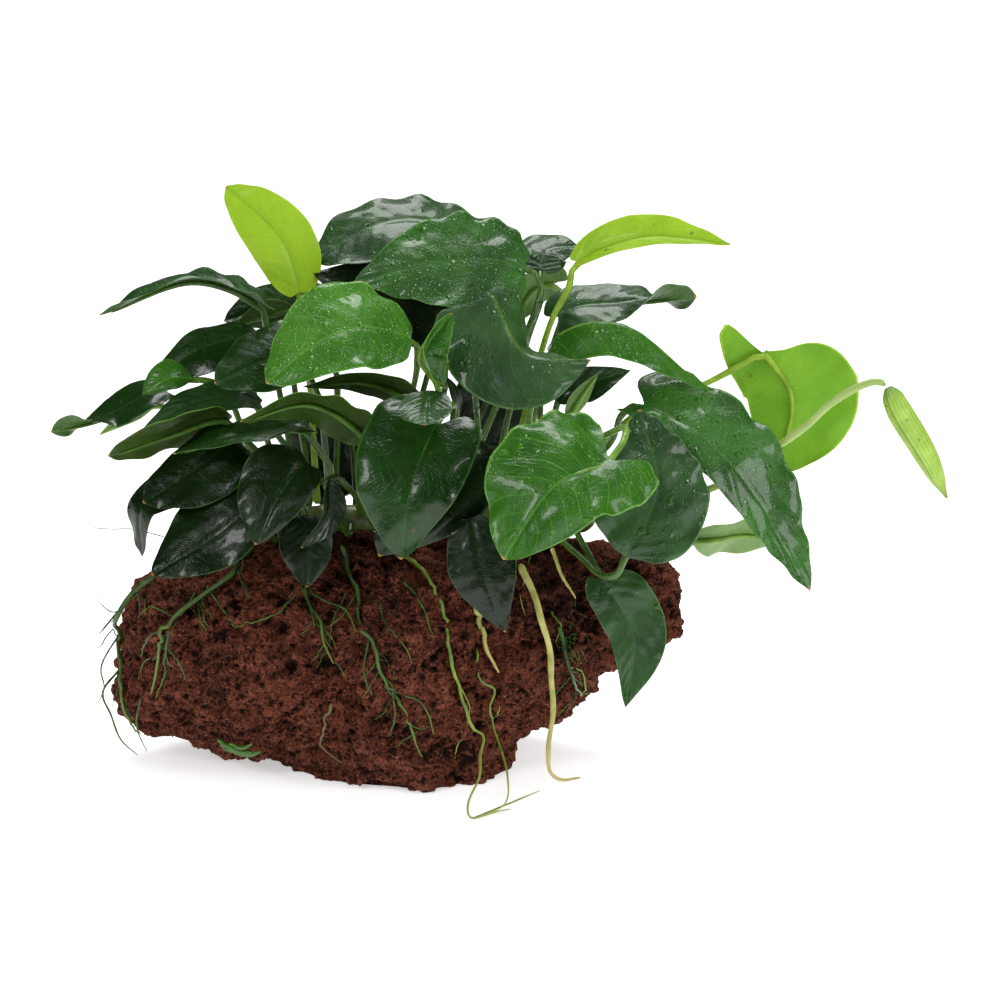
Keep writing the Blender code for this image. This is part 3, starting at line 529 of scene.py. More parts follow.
@dataclass
class Look:
    """How a leaf's two sides are coloured and how wet they are."""
    dark: tuple
    light: tuple
    under: tuple
    under_dark: tuple
    vein: tuple
    # rim: the colour of the pale line painted along the margins, a painted highlight
    rim: tuple
    stalk: tuple
    rough: float = 0.32
    wet: float = 0.0        # how much of the upper side holds droplets
    quilt: float = 0.3      # how much the skin bulges between the side veins, in mm
    glow: float = 0.1       # how much light comes through
    film: float = 0.4       # strength of the wet film
    vein_show: float = 0.35
    shine: float = 0.5      # specular level


STALK_GREEN = (0.055, 0.14, 0.010)

LOOKS = {
    "old": Look(dark=(0.0035, 0.020, 0.0012), light=(0.0085, 0.046, 0.0022), under=(0.050, 0.130, 0.012),
                under_dark=(0.022, 0.070, 0.006), vein=(0.022, 0.085, 0.008), rim=(0.035, 0.11, 0.012),
                stalk=STALK_GREEN, rough=0.28, quilt=0.12, glow=0.03, film=0.25, vein_show=0.16, shine=0.35),
    "sheen": Look(dark=(0.0050, 0.032, 0.0035), light=(0.020, 0.085, 0.009), under=(0.050, 0.130, 0.012),
                  under_dark=(0.022, 0.070, 0.006), vein=(0.035, 0.115, 0.020), rim=(0.06, 0.16, 0.03),
                  stalk=STALK_GREEN, rough=0.44, wet=0.3, quilt=0.34, glow=0.03, film=0.3, vein_show=0.2, shine=0.4),
    "wet": Look(dark=(0.0060, 0.046, 0.0030), light=(0.032, 0.145, 0.008), under=(0.050, 0.130, 0.012),
                under_dark=(0.022, 0.070, 0.006), vein=(0.045, 0.150, 0.020), rim=(0.08, 0.22, 0.03),
                stalk=STALK_GREEN, rough=0.40, wet=0.9, quilt=0.34, glow=0.04, film=0.3, vein_show=0.22, shine=0.4),
    # The shade look's very dark colours are painted shade: the inside of the plant, where little light reaches.
    "shade": Look(dark=(0.0018, 0.007, 0.0008), light=(0.0040, 0.017, 0.0015), under=(0.016, 0.042, 0.004),
                  under_dark=(0.007, 0.020, 0.002), vein=(0.009, 0.034, 0.003), rim=(0.02, 0.06, 0.007),
                  stalk=(0.03, 0.07, 0.006), rough=0.28, quilt=0.12, glow=0.01, film=0.2, vein_show=0.18,
                  shine=0.3),
    "bright": Look(dark=(0.010, 0.068, 0.0010), light=(0.030, 0.140, 0.003), under=(0.090, 0.230, 0.018),
                   under_dark=(0.050, 0.150, 0.008), vein=(0.075, 0.260, 0.018), rim=(0.13, 0.33, 0.04),
                   stalk=(0.15, 0.31, 0.025), rough=0.34, wet=0.35, quilt=0.26, glow=0.08, film=0.25,
                   vein_show=0.42, shine=0.35),
    "dewy": Look(dark=(0.018, 0.100, 0.0020), light=(0.055, 0.210, 0.008), under=(0.090, 0.230, 0.018),
                 under_dark=(0.050, 0.150, 0.008), vein=(0.090, 0.300, 0.022), rim=(0.15, 0.36, 0.05),
                 stalk=(0.15, 0.31, 0.025), rough=0.34, wet=1.0, quilt=0.30, glow=0.08, film=0.3,
                 vein_show=0.36, shine=0.4),
    "olive": Look(dark=(0.012, 0.052, 0.0030), light=(0.026, 0.090, 0.005), under=(0.040, 0.085, 0.006),
                  under_dark=(0.012, 0.032, 0.002), vein=(0.013, 0.036, 0.003), rim=(0.11, 0.23, 0.02),
                  stalk=STALK_GREEN, rough=0.36, quilt=0.2, glow=0.08, film=0.15, vein_show=0.3, shine=0.3),
    "pale": Look(dark=(0.05, 0.15, 0.015), light=(0.11, 0.25, 0.035), under=(0.23, 0.38, 0.11),
                 under_dark=(0.13, 0.27, 0.06), vein=(0.30, 0.45, 0.17), rim=(0.32, 0.48, 0.14),
                 stalk=(0.20, 0.38, 0.04), rough=0.42, quilt=0.16, glow=0.2, film=0.15, vein_show=0.3),
    "young": Look(dark=(0.30, 0.53, 0.006), light=(0.42, 0.66, 0.020), under=(0.235, 0.48, 0.016),
                  under_dark=(0.145, 0.36, 0.008), vein=(0.26, 0.48, 0.010), rim=(0.46, 0.68, 0.06),
                  stalk=(0.34, 0.54, 0.04), rough=0.45, quilt=0.16, glow=0.28, film=0.1, vein_show=0.25,
                  shine=0.35),
}

LEAF_LOOKS = {
    "leaf_young_upright": "young", "leaf_young_right": "young", "leaf_pale_right": "young",
    "leaf_arched_left": "sheen", "leaf_back_top": "sheen", "leaf_crown": "wet", "leaf_centre_oval": "sheen",
    "leaf_grey_heart": "sheen", "leaf_wet_right": "wet", "leaf_low_right": "sheen", "leaf_dark_twist": "sheen",
    "leaf_mirror_small": "sheen", "leaf_streaked_left": "sheen", "leaf_back_small": "sheen",
    "leaf_bright_left": "dewy", "leaf_bright_front": "bright", "leaf_twisted_small": "bright",
    "leaf_curled_left": "bright", "leaf_arched_right": "bright",
    "leaf_olive_left": "olive", "leaf_olive_big": "olive", "leaf_olive_strip": "olive", "leaf_sliver_left": "olive",
    "leaf_pale_low": "pale", "leaf_pale_back": "pale", "leaf_pale_left": "pale", "leaf_pale_inner": "pale",
    # These leaves sit deep inside or behind the plant; the shade look paints their shade into their colour.
    "leaf_shade_upper": "shade", "leaf_shade_pale": "shade", "leaf_shade_low": "shade",
    "leaf_shade_round": "shade", "leaf_shade_narrow": "shade", "leaf_shade_inner": "shade",
    "leaf_under_heart": "shade", "leaf_low_centre": "shade",
    "leaf_rear_left": "shade", "leaf_rear_middle": "shade", "leaf_rear_high": "shade",
}

SIDE_VEINS = 9
VEIN_SWEEP = 0.24


def leaf_paint(name, look):
    """Leaf skin: the map gives u across (-1 to 1), s along (0 to 1) and the side (1 upper, 0 under, 2 stalk)."""
    n = Nodes(name)
    u, s, side = n.split(n.attribute("leaf_map"))
    across, _, seed = n.split(n.attribute("leaf_mm"))
    where = n.place_mm()
    far = n.math("ABSOLUTE", u)
    upper = n.step(side, 0.4, 0.6)
    stalk = n.step(side, 1.4, 1.6)
    wobble = n.math("MULTIPLY", n.math("SUBTRACT", n.noise(where, 9.0), 0.5), 0.35)
    swept = n.math("SUBTRACT", s, n.math("MULTIPLY", n.math("POWER", far, 1.25), VEIN_SWEEP))
    count = n.math("ADD", n.math("MULTIPLY", swept, float(SIDE_VEINS)), wobble)
    ridge = n.math("MULTIPLY", n.math("ABSOLUTE", n.math("SUBTRACT", n.math("FRACT", count), 0.5)), 2.0)
    inside = n.step(far, 0.80, 0.97, 1.0, 0.0)
    side_vein = n.math("MULTIPLY", n.step(ridge, 0.86, 0.99), inside)
    fine = n.math("MULTIPLY", count, 5.0)
    fine_ridge = n.math("MULTIPLY", n.math("ABSOLUTE", n.math("SUBTRACT", n.math("FRACT", fine), 0.5)), 2.0)
    fine_vein = n.math("MULTIPLY", n.step(fine_ridge, 0.5, 1.0), inside)
    net = n.cells(where, 2.6, "DISTANCE_TO_EDGE")
    net_line = n.step(net, 0.0, 0.10, 1.0, 0.0)
    midrib = n.step(n.math("ABSOLUTE", across), 0.15, 0.70, 1.0, 0.0)
    patch = n.noise(where, 22.0, 3.0, 0.55)
    speckle = n.noise(where, 1.6, 3.0, 0.6)
    blotch = n.math("ADD", n.math("MULTIPLY", n.step(patch, 0.32, 0.68), 0.7), n.math("MULTIPLY", speckle, 0.3))

    top = n.mix(blotch, look.dark, look.light)
    top = n.mix(n.math("MULTIPLY", side_vein, look.vein_show), top, look.vein)
    top = n.mix(n.math("MULTIPLY", fine_vein, look.vein_show * 0.25), top, look.vein)
    top = n.mix(n.math("MULTIPLY", net_line, look.vein_show * 0.30), top, look.vein)
    top = n.mix(n.math("MULTIPLY", midrib, 0.5), top, look.vein)
    low = n.mix(blotch, look.under_dark, look.under)
    low = n.mix(n.math("MULTIPLY", side_vein, 0.55), low, look.under_dark)
    low = n.mix(n.math("MULTIPLY", fine_vein, 0.22), low, look.under_dark)
    low = n.mix(n.math("MULTIPLY", net_line, 0.18), low, look.under_dark)
    low = n.mix(n.math("MULTIPLY", midrib, 0.6), low, look.stalk)
    colour = n.mix(upper, low, top)
    # A pale line is painted along the margins: a painted highlight on the leaf's rim.
    rim_highlight = n.math("MULTIPLY", n.step(far, 0.955, 0.985), 0.8)
    colour = n.mix(rim_highlight, colour, look.rim)
    stem = n.mix(n.step(n.noise(where, 5.0, 3.0), 0.35, 0.7), look.stalk, tuple(c * 0.62 for c in look.stalk))
    colour = n.mix(stalk, colour, stem)
    spots = n.step(n.cells(where, 13.0), 0.045, 0.075, 1.0, 0.0)
    colour = n.mix(n.math("MULTIPLY", spots, 0.55), colour, (0.10, 0.055, 0.02))
    tip = n.math("MULTIPLY", n.step(s, 0.975, 0.99), n.step(side, 1.4, 1.6, 1.0, 0.0))
    colour = n.mix(n.math("MULTIPLY", tip, 0.8), colour, (0.42, 0.24, 0.05))

    quilt = n.math("MULTIPLY", n.math("COSINE", n.math("MULTIPLY", count, 2 * math.pi)), -0.5)
    quilt = n.math("MULTIPLY", quilt, n.math("MULTIPLY", inside, n.step(n.noise(where, 12.0, 2.0), 0.35, 0.65)))
    bump = n.bump(quilt, look.quilt * 0.5)
    bump = n.bump(n.noise(where, 5.0, 2.0, 0.5), 0.55, 0.8, bump)
    bump = n.bump(n.math("MULTIPLY", fine_vein, -1.0), 0.05, 0.6, bump)
    bump = n.bump(n.noise(where, 0.9, 3.0, 0.6), 0.05, 0.7, bump)
    bump = n.bump(n.math("MULTIPLY", net_line, -1.0), 0.06, 0.7, bump)
    rough = n.math("ADD", n.math("MULTIPLY", n.math("SUBTRACT", patch, 0.5), 0.22), look.rough)
    rough = n.math("ADD", rough, n.math("MULTIPLY", n.math("SUBTRACT", 1.0, upper), 0.12))
    coat = look.film
    if look.wet > 0:
        where_wet = n.step(n.noise(where, 16.0, 2.0), 0.62 - 0.45 * look.wet, 0.72 - 0.35 * look.wet)
        drops = 0.0
        for size, share in ((5.6, 0.30), (3.0, 0.34), (1.7, 0.38), (1.0, 0.40)):
            cell = n.cells(where, size)
            keep = n.step(n.split(n.cells(where, size, out=1))[0], 0.36, 0.41)
            dome = n.step(cell, share * 0.35, share, 1.0, 0.0)
            drops = n.math("MAXIMUM", drops, n.math("MULTIPLY", n.math("MULTIPLY", dome, keep), size * 0.20))
        drops = n.math("MULTIPLY", n.math("MULTIPLY", drops, where_wet), upper)
        bump = n.bump(drops, 1.0, 1.0, bump)
        rough = n.blend(n.step(drops, 0.02, 0.15), rough, 0.06)
        # Where droplets sit the colour is painted lighter: a painted highlight on the drops.
        colour = n.mix(n.math("MULTIPLY", n.step(drops, 0.03, 0.25), 0.45), colour, look.vein)
    shader = n.finish(Base_Color=colour, Roughness=rough, Normal=bump, Coat_Weight=coat, Coat_Roughness=0.06,
                      Specular_IOR_Level=look.shine)
    if look.glow > 0:
        through = n.tree.nodes.new("ShaderNodeBsdfTranslucent")
        n.put(through.inputs["Color"], n.mix(0.5, colour, n.mix(0.6, colour, (0.35, 0.62, 0.06))))
        n.put(through.inputs["Normal"], bump)
        both = n.tree.nodes.new("ShaderNodeMixShader")
        n.put(both.inputs[0], look.glow)
        n.put(both.inputs[1], n.shader.outputs[0])
        n.put(both.inputs[2], through.outputs[0])
        n.put(n.tree.nodes["Material Output"].inputs["Surface"], both.outputs[0])
    return shader


# ------------------------------------------------------------------ leaf shapes

BLADE_ROWS, BLADE_COLUMNS = 60, 33
STALK_ROWS, STALK_SIDES = 40, 10
SKIN = 0.45


def leaf_piece(leaf, index, paint):
    stalk, midrib = leaf_lines(leaf)
    look = LOOKS[LEAF_LOOKS.get(leaf.name, "old")]
    seed = 1.0 + index * 0.73
    t = np.linspace(0, 1, BLADE_ROWS)
    s = 0.002 + 0.995 * (0.5 - 0.5 * np.cos(math.pi * t)) ** 0.9
    v = np.linspace(-1, 1, BLADE_COLUMNS)
    u = v * (1.3 - 0.3 * v * v)
    top, up = blade_points(leaf, midrib, s, u)
    length = along(midrib, [1.0])[2]
    ds, du = np.gradient(top, axis=0), np.gradient(top, axis=1)
    normal = np.cross(ds, du)
    normal /= np.maximum(np.linalg.norm(normal, axis=2), 1e-9)[..., None]
    normal *= np.sign((normal * up[:, None, :]).sum(2))[..., None]
    across = np.linalg.norm(top - top[:, BLADE_COLUMNS // 2][:, None], axis=2) * np.sign(u)[None]
    far = np.abs(u)[None] * np.ones_like(across)
    sweep = (s[:, None] - VEIN_SWEEP * far ** 1.25) * SIDE_VEINS
    calm = np.clip(far * 3, 0, 1) * np.clip((1 - far) * 4, 0, 1)
    size = max(leaf.width) / 20
    uneven = 0.55 + 0.45 * ripple(top, 31, seed + 9)
    high = -0.45 * np.exp(-(across / 1.1) ** 2) - look.quilt * 0.5 * np.cos(2 * math.pi * sweep) * calm * uneven
    high += 0.20 * calm * ripple(top, 8.5, seed + 3)
    high += 0.7 * size * ripple(top, 26, seed) + 1.7 * size * far ** 2.5 * ripple(top, 15, seed + 5)
    high *= np.clip(np.minimum(s, 1 - s) * 12, 0, 1)[:, None]
    top = top + high[..., None] * normal
    under = top - normal * (SKIN * (1 - 0.55 * far ** 4))[..., None]
    rows, columns = top.shape[:2]
    count = rows * columns
    points = [top.reshape(-1, 3), under.reshape(-1, 3)]
    faces = grid_faces(rows, columns) + grid_faces(rows, columns, count, flip=True)
    ring = ([k * columns for k in range(rows)] + [(rows - 1) * columns + i for i in range(1, columns)]
            + [k * columns + columns - 1 for k in range(rows - 2, -1, -1)] + list(range(columns - 2, 0, -1)))
    for a, b in zip(ring, ring[1:] + ring[:1]):
        faces.append((a, b, b + count, a + count))
    grid_u, grid_s = np.meshgrid(u, s)
    maps = []
    for value in (1.0, 0.0):
        maps.append(np.stack([grid_u.ravel(), grid_s.ravel(), np.full(count, value)], 1))
    sizes = np.stack([across.ravel(), (grid_s * length).ravel(), np.full(count, seed)], 1)
    sizes = [sizes, sizes]

    rib_s = np.linspace(0.03, 0.93, 22)
    rib, tangent, _ = along(midrib, rib_s)
    look_up, _ = face_at(leaf, rib_s, tangent)
    rib_r = 1.15 * (1 - rib_s) ** 0.8 + 0.22
    rib = rib - look_up * (SKIN + 0.40 + rib_r * 0.85)[:, None]
    line = np.concatenate([stalk[:-6], rib])
    steps = np.linalg.norm(np.diff(line, axis=0), axis=1)
    place = np.concatenate([[0], np.cumsum(steps)]) / steps.sum()
    joint = place[len(stalk) - 7]
    shares = np.unique(np.concatenate([np.linspace(0, joint, STALK_ROWS), np.linspace(joint, 1, 24)]))
    radii = np.interp(shares, np.concatenate([[0, 0.12 * joint, 0.8 * joint, 0.9 * joint, joint], place[len(stalk) - 6:]]),
                      np.concatenate([[1.9, 1.35, 1.2, 1.45, 1.25], rib_r]))
    tube_points, tube_faces = rod(line, shares, round_ends(shares, radii, 0.01), STALK_SIDES)
    offset = 2 * count
    points.append(tube_points)
    faces += [tuple(i + offset for i in f) for f in tube_faces]
    tube_map = np.zeros((len(tube_points), 3))
    tube_map[:, 1] = np.repeat(shares, STALK_SIDES)
    tube_map[:, 2] = 2.0
    maps.append(tube_map)
    tube_size = np.zeros((len(tube_points), 3))
    tube_size[:, 0] = 9.0
    tube_size[:, 2] = seed
    sizes.append(tube_size)
    return new_piece(leaf.name[5:] + "_leaf", np.concatenate(points), faces, paint, [leaf.name],
                     maps={"leaf_map": np.concatenate(maps), "leaf_mm": np.concatenate(sizes)})


# ------------------------------------------------------------------ stone

STONE_BALL = 7
HOLLOW_CENTRE, HOLLOW_REACH = (66, -45, 88), 17


def stone_piece(paint):
    ball = bmesh.new()
    bmesh.ops.create_icosphere(ball, subdivisions=STONE_BALL, radius=1)
    front = [f for f in ball.faces if f.calc_center_median().y < -0.28]
    edges = list({e for f in front for e in f.edges})
    bmesh.ops.subdivide_edges(ball, edges=edges, cuts=1, use_grid_fill=True)
    bmesh.ops.triangulate(ball, faces=ball.faces[:])
    for v in ball.verts:
        v.co.normalize()
    points = stone_skin(np.array([v.co[:] for v in ball.verts]))
    faces = [tuple(v.index for v in f.verts) for f in ball.faces]
    ball.verts.index_update()
    faces = [tuple(v.index for v in f.verts) for f in ball.faces]
    ball.free()
    a, b, c = (points[[f[k] for f in faces]] for k in range(3))
    flat = np.cross(b - a, c - a)
    normal = np.zeros_like(points)
    for k in range(3):
        np.add.at(normal, [f[k] for f in faces], flat)
    normal /= np.maximum(np.linalg.norm(normal, axis=1), 1e-9)[:, None]
    high = np.empty(len(points))
    # How deep the pits are here, used only to paint shade into the stone's colour.
    pit_shade = np.empty(len(points))
    ridge = np.empty(len(points))
    for i, p in enumerate(points):
        q = Vector(p)
        crag = noise.ridged_multi_fractal(q / 34, 0.8, 2.1, 4, 1.0, 2.0)
        lump = noise.ridged_multi_fractal(q / 11 + Vector((3, 8, 2)), 0.7, 2.2, 3, 1.0, 2.0)
        grain = noise.fractal(q / 7 + Vector((9, 3, 1)), 0.6, 2.0, 4)
        bend = Vector.Fill(3, 0.45 * grain)
        wide = noise.voronoi(q / 8.5 + bend)[0][0]
        near = noise.voronoi(q / 4.6 + Vector((2, 7, 4)) + bend)[0][0]
        small = noise.voronoi(q / 2.4 + Vector((5, 5, 5)) + bend)[0][0]
        where = noise.noise(q / 19)
        deep = max(0.0, 0.46 - wide) * max(0.0, 0.15 + where * 2.2)
        middle = max(0.0, 0.44 - near) * max(0.0, 0.7 - where * 0.8)
        fine = max(0.0, 0.42 - small)
        pit_shade[i] = min(1.0, deep * 4.2 + middle * 3.4 + fine * 2.0)
        # This value follows the relief; it paints shade into low parts and highlights onto raised parts of the stone's
        # colour.
        ridge[i] = 0.5 + 0.30 * grain + 0.34 * (lump - 1.1)
        high[i] = 3.6 * (crag - 1.15) + 2.2 * (lump - 1.1) + 1.6 * grain - 9.0 * deep - 7.0 * middle - 3.0 * fine
    hollow = np.exp(-(np.linalg.norm((points - HOLLOW_CENTRE) * (1, 0.5, 1), axis=1) / HOLLOW_REACH) ** 2)
    moved = points + normal * (high - 0.4 - 7.0 * hollow)[:, None]
    moved[:, 2] = np.where(points[:, 2] <= 0.001, 0.0, np.maximum(moved[:, 2], 0.02))
    # The map carries the pits, the relief and the hollow to the stone's colour, where they paint shade and highlights.
    maps = {"stone_map": np.stack([pit_shade, ridge, hollow], 1)}
    return new_piece("stone", moved, faces, paint, ["lava_stone"], maps=maps), moved, faces


def stone_paint():
    n = Nodes("lava_rock")
    where = n.place_mm()
    pit_shade, ridge, hollow = n.split(n.attribute("stone_map"))
    patch = n.step(n.noise(where, 30.0, 4.0, 0.6), 0.35, 0.7)
    colour = n.mix(patch, (0.075, 0.017, 0.009), (0.150, 0.040, 0.020))
    crust = n.step(n.noise(where, 17.0, 5.0, 0.65), 0.52, 0.68)
    colour = n.mix(n.math("MULTIPLY", crust, 0.6), colour, (0.040, 0.013, 0.010))
    # Low parts of the relief are painted darker and raised parts lighter: painted shade and painted highlight.
    colour = n.mix(n.math("MULTIPLY", n.step(ridge, 0.40, 0.10), 0.75), colour, (0.018, 0.006, 0.004))
    colour = n.mix(n.math("MULTIPLY", n.step(ridge, 0.52, 0.85), 0.6), colour, (0.24, 0.075, 0.042))
    grit = n.noise(where, 1.0, 4.0, 0.75)
    colour = n.mix(n.step(grit, 0.50, 0.72), colour, (0.33, 0.105, 0.060))
    # Small raised crumbs are painted pale pink: a painted highlight on the bumps.
    glinting_crumb = n.step(n.cells(where, 1.3), 0.12, 0.30, 1.0, 0.0)
    pale = n.step(n.noise(where, 5.0, 3.0, 0.6), 0.48, 0.62)
    colour = n.mix(n.math("MULTIPLY", n.math("MULTIPLY", glinting_crumb, pale), 0.75), colour, (0.52, 0.25, 0.17))
    # Pits and pores are painted near black: painted shade inside the holes.
    pores = n.cells(where, 2.1)
    shaded_pore = n.step(pores, 0.20, 0.42, 1.0, 0.0)
    shaded_tiny_pore = n.step(n.cells(n.add("VectorMath", {0: where, 1: (7.0, 3.0, 5.0)}), 1.0), 0.18, 0.40, 1.0, 0.0)
    keep = n.step(n.noise(where, 6.0, 2.0), 0.36, 0.52)
    shaded_pore = n.math("MULTIPLY", shaded_pore, keep)
    dark = n.math("MAXIMUM", n.math("MULTIPLY", n.step(pit_shade, 0.12, 0.8), 0.92), n.math("MULTIPLY", shaded_pore, 0.85))
    dark = n.math("MAXIMUM", dark, n.math("MULTIPLY", shaded_tiny_pore, 0.40))
    colour = n.mix(dark, colour, (0.010, 0.003, 0.002))
    # The hollow under the leaves is painted near black: painted shade in the hollow and of the leaves above it.
    colour = n.mix(n.math("MULTIPLY", hollow, 0.85), colour, (0.008, 0.004, 0.003))
    bump = n.bump(n.noise(where, 4.2, 3.0, 0.55), 4.5)
    bump = n.bump(n.noise(where, 1.4, 3.0, 0.6), 1.3, 1.0, bump)
    bump = n.bump(n.math("MULTIPLY", shaded_pore, -1.0), 1.4, 1.0, bump)
    bump = n.bump(n.math("MULTIPLY", shaded_tiny_pore, -1.0), 0.6, 1.0, bump)
    bump = n.bump(glinting_crumb, 0.5, 0.8, bump)
    return n.finish(Base_Color=colour, Roughness=0.86, Normal=bump, Specular_IOR_Level=0.12)


# ------------------------------------------------------------------ rhizome, roots, flower

def stem_paint(name, dark, light, tip, roughness=0.5):
    """Skin of a root or stem: the map gives s along and the turn round it."""
    n = Nodes(name)
    s, turn, _ = n.split(n.attribute("rod_map"))
    where = n.place_mm()
    patch = n.step(n.noise(where, 6.0, 3.0), 0.3, 0.7)
    colour = n.mix(patch, dark, light)
    colour = n.mix(n.step(s, 0.45, 1.0), colour, tip)
    flecks = n.step(n.noise(where, 0.9, 2.0), 0.62, 0.72)
    colour = n.mix(n.math("MULTIPLY", flecks, 0.4), colour, (0.12, 0.07, 0.03))
    bump = n.bump(n.noise(where, 1.2, 3.0), 0.12)
    return n.finish(Base_Color=colour, Roughness=roughness, Normal=bump, Coat_Weight=0.2, Coat_Roughness=0.25)


def laid_line(points, skin, radius, lift):
    """A line through (x, z) points laid on the stone's viewer side, or (x, y, z) points that hang free."""
    full = []
    for p in points:
        if len(p) == 3:
            full.append(p)
            continue
        hit = skin.ray_cast(Vector((p[0], -300, p[1])), Vector((0, 1, 0)))[0]
        y = hit.y if hit else full[-1][1] if full else -20
        full.append((p[0], y - radius - lift, p[1]))
    line = spline(full, 8)
    out = []
    for p in line:
        near, normal = skin.find_nearest(Vector(p))[:2]
        height = (Vector(p) - near).dot(normal)
        if height < radius + lift:
            p = p + np.array(normal) * (radius + lift - height)
        out.append((p[0], p[1], max(p[2], radius * 0.9)))
    return np.array(out)


def side_rootlets(line, dice, count, reach, radius):
    """Short rootlets that leave a root and wander down the stone, as (points, radius) pairs."""
    made = []
    for _ in range(count):
        start = line[int(dice.uniform(0.12, 0.92) * (len(line) - 1))]
        way = dice.choice((-1, 1)) * dice.uniform(0.5, 1.2)
        points = [(start[0], start[2])]
        for step in range(1, 4):
            drop = reach * step / 3 * dice.uniform(0.7, 1.2)
            points.append((start[0] + way * drop * 0.55 + dice.normal(0, 0.7), max(1.0, start[2] - drop * 0.8)))
        made.append((points, radius * dice.uniform(0.7, 1.2)))
    return made


def rods_piece(name, lines, paint, nodes=(), rows=40, sides=8, taper=(1, 0.85, 0.35)):
    """One piece of one or more rods: (line, radius) each."""
    points, faces, maps = [], [], []
    count = 0
    for k, (line, radius) in enumerate(lines):
        shares = np.linspace(0, 1, rows)
        radii = radius * np.interp(shares, (0, 0.7, 1), taper) * (1 + 0.07 * np.sin(shares * 37 + k))
        p, f = rod(line, shares, round_ends(shares, radii, 0.02), sides)
        points.append(p)
        faces += [tuple(i + count for i in face) for face in f]
        maps.append(np.stack([np.repeat(shares, sides), np.tile(np.arange(sides) / sides, rows),
                              np.full(rows * sides, float(k))], 1))
        count += len(p)
    return new_piece(name, np.concatenate(points), faces, paint, nodes, maps={"rod_map": np.concatenate(maps)})


def spathe_piece(paint):
    line = spline(SPATHE_PATH)
    rows, sides = 60, 56
    shares = np.linspace(0, 1, rows)
    centre, tangent, _ = along(line, shares)
    radii = profile(shares, SPATHE_SHARES, SPATHE_RADII)
    side = unit(np.cross(tangent[0], (0, -1, 0)))
    turn = np.linspace(0, 2 * math.pi, sides, endpoint=False)
    points, maps = [], []
    for c, t, r, s in zip(centre, tangent, radii, shares):
        side = unit(side - side.dot(t) * t)
        up = np.cross(t, side)
        lap = 0.93 + 0.10 * turn / (2 * math.pi)
        wide = r * lap * (1 + 0.012 * np.cos(turn * 22))
        points.append(c + (wide * np.cos(turn - 0.9))[:, None] * side + (wide * np.sin(turn - 0.9))[:, None] * up)
        maps.append(np.stack([np.full(sides, s), turn / (2 * math.pi), np.full(sides, r)], 1))
    faces = grid_faces(rows, sides, wrap=True)
    faces += [tuple(range(sides))[::-1], tuple(range((rows - 1) * sides, rows * sides))]
    return new_piece("spathe_hood", np.concatenate(points), faces, paint, ["spathe"],
                     maps={"rod_map": np.concatenate(maps)})


def spathe_paint():
    n = Nodes("spathe_skin")
    s, turn, _ = n.split(n.attribute("rod_map"))
    where = n.place_mm()
    ribs = n.math("SINE", n.math("MULTIPLY", turn, 2 * math.pi * 22))
    rib = n.step(ribs, 0.2, 1.0)
    colour = n.mix(n.step(n.noise(where, 7.0, 3.0), 0.3, 0.7), (0.25, 0.42, 0.035), (0.36, 0.54, 0.07))
    colour = n.mix(n.math("MULTIPLY", rib, 0.35), colour, (0.17, 0.33, 0.03))
    colour = n.mix(n.step(s, 0.10, 0.0), colour, (0.20, 0.34, 0.07))
    colour = n.mix(n.step(s, 0.93, 1.0), colour, (0.36, 0.28, 0.10))
    lap = n.step(turn, 0.965, 0.99)
    colour = n.mix(n.math("MULTIPLY", lap, 0.6), colour, (0.16, 0.26, 0.06))
    spots = n.step(n.cells(where, 7.0), 0.05, 0.11, 1.0, 0.0)
    colour = n.mix(n.math("MULTIPLY", spots, 0.7), colour, (0.14, 0.07, 0.02))
    bump = n.bump(ribs, 0.10)
    bump = n.bump(n.noise(where, 1.2, 3.0), 0.05, 1.0, bump)
    return n.finish(Base_Color=colour, Roughness=0.45, Normal=bump, Coat_Weight=0.15, Coat_Roughness=0.3)


def rhizome_piece(paint):
    line = spline(RHIZOME_PATH)
    rows = 160
    shares = np.linspace(0, 1, rows)
    rings = 1 + 0.10 * np.abs(np.sin(shares * 44)) ** 3 + 0.05 * np.sin(shares * 13)
    radii = round_ends(shares, RHIZOME_RADIUS * 0.97 * rings, 0.05)
    points, faces = rod(line, shares, radii, 28)
    points = points + 0.35 * ripple(points, 5, 2.0)[:, None]
    maps = np.stack([np.repeat(shares, 28) * 0.4, np.tile(np.arange(28) / 28, rows), np.zeros(rows * 28)], 1)
    return new_piece("rhizome_stem", points, faces, paint, ["rhizome"], maps={"rod_map": maps})


ROOT_SLIM = 0.8

# Hair-thin side rootlets, each with the way it runs down the stone: (x, z) on the stone or (x, y, z) free.
ROOTLETS_LEFT = [
    ([(-112, 67), (-119, -24, 59)], 0.45), ([(-114, 52), (-119, -22, 44), (-118, -22, 36), (-121, -22, 29)], 0.4),
    ([(-113, 40), (-119, -20, 33), (-116, -20, 24), (-112, -22, 14), (-105, -24, 8)], 0.5),
    ([(-103, 76), (-112, -30, 70), (-120, -24, 74)], 0.3),
    ([(-80, 77), (-87, 68), (-97, 70), (-103, 66)], 0.4), ([(-92, 64), (-98, 60), (-103, 49)], 0.4),
    ([(-76, 79), (-68, 72), (-62, 66)], 0.4), ([(-95, 52), (-102, 46), (-104, 39)], 0.4),
    ([(-90, 64), (-92, 52), (-93, 42), (-97, 33)], 0.6), ([(-92, 57), (-86, 50), (-84, 43)], 0.3),
    ([(-102, -34, 36), (-104, -34, 24), (-100, -36, 14)], 0.35),
    ([(-90, -38, 103), (-104, -30, 104), (-112, -30, 104), (-119, -30, 105), (-121, -30, 110)], 0.22),
]
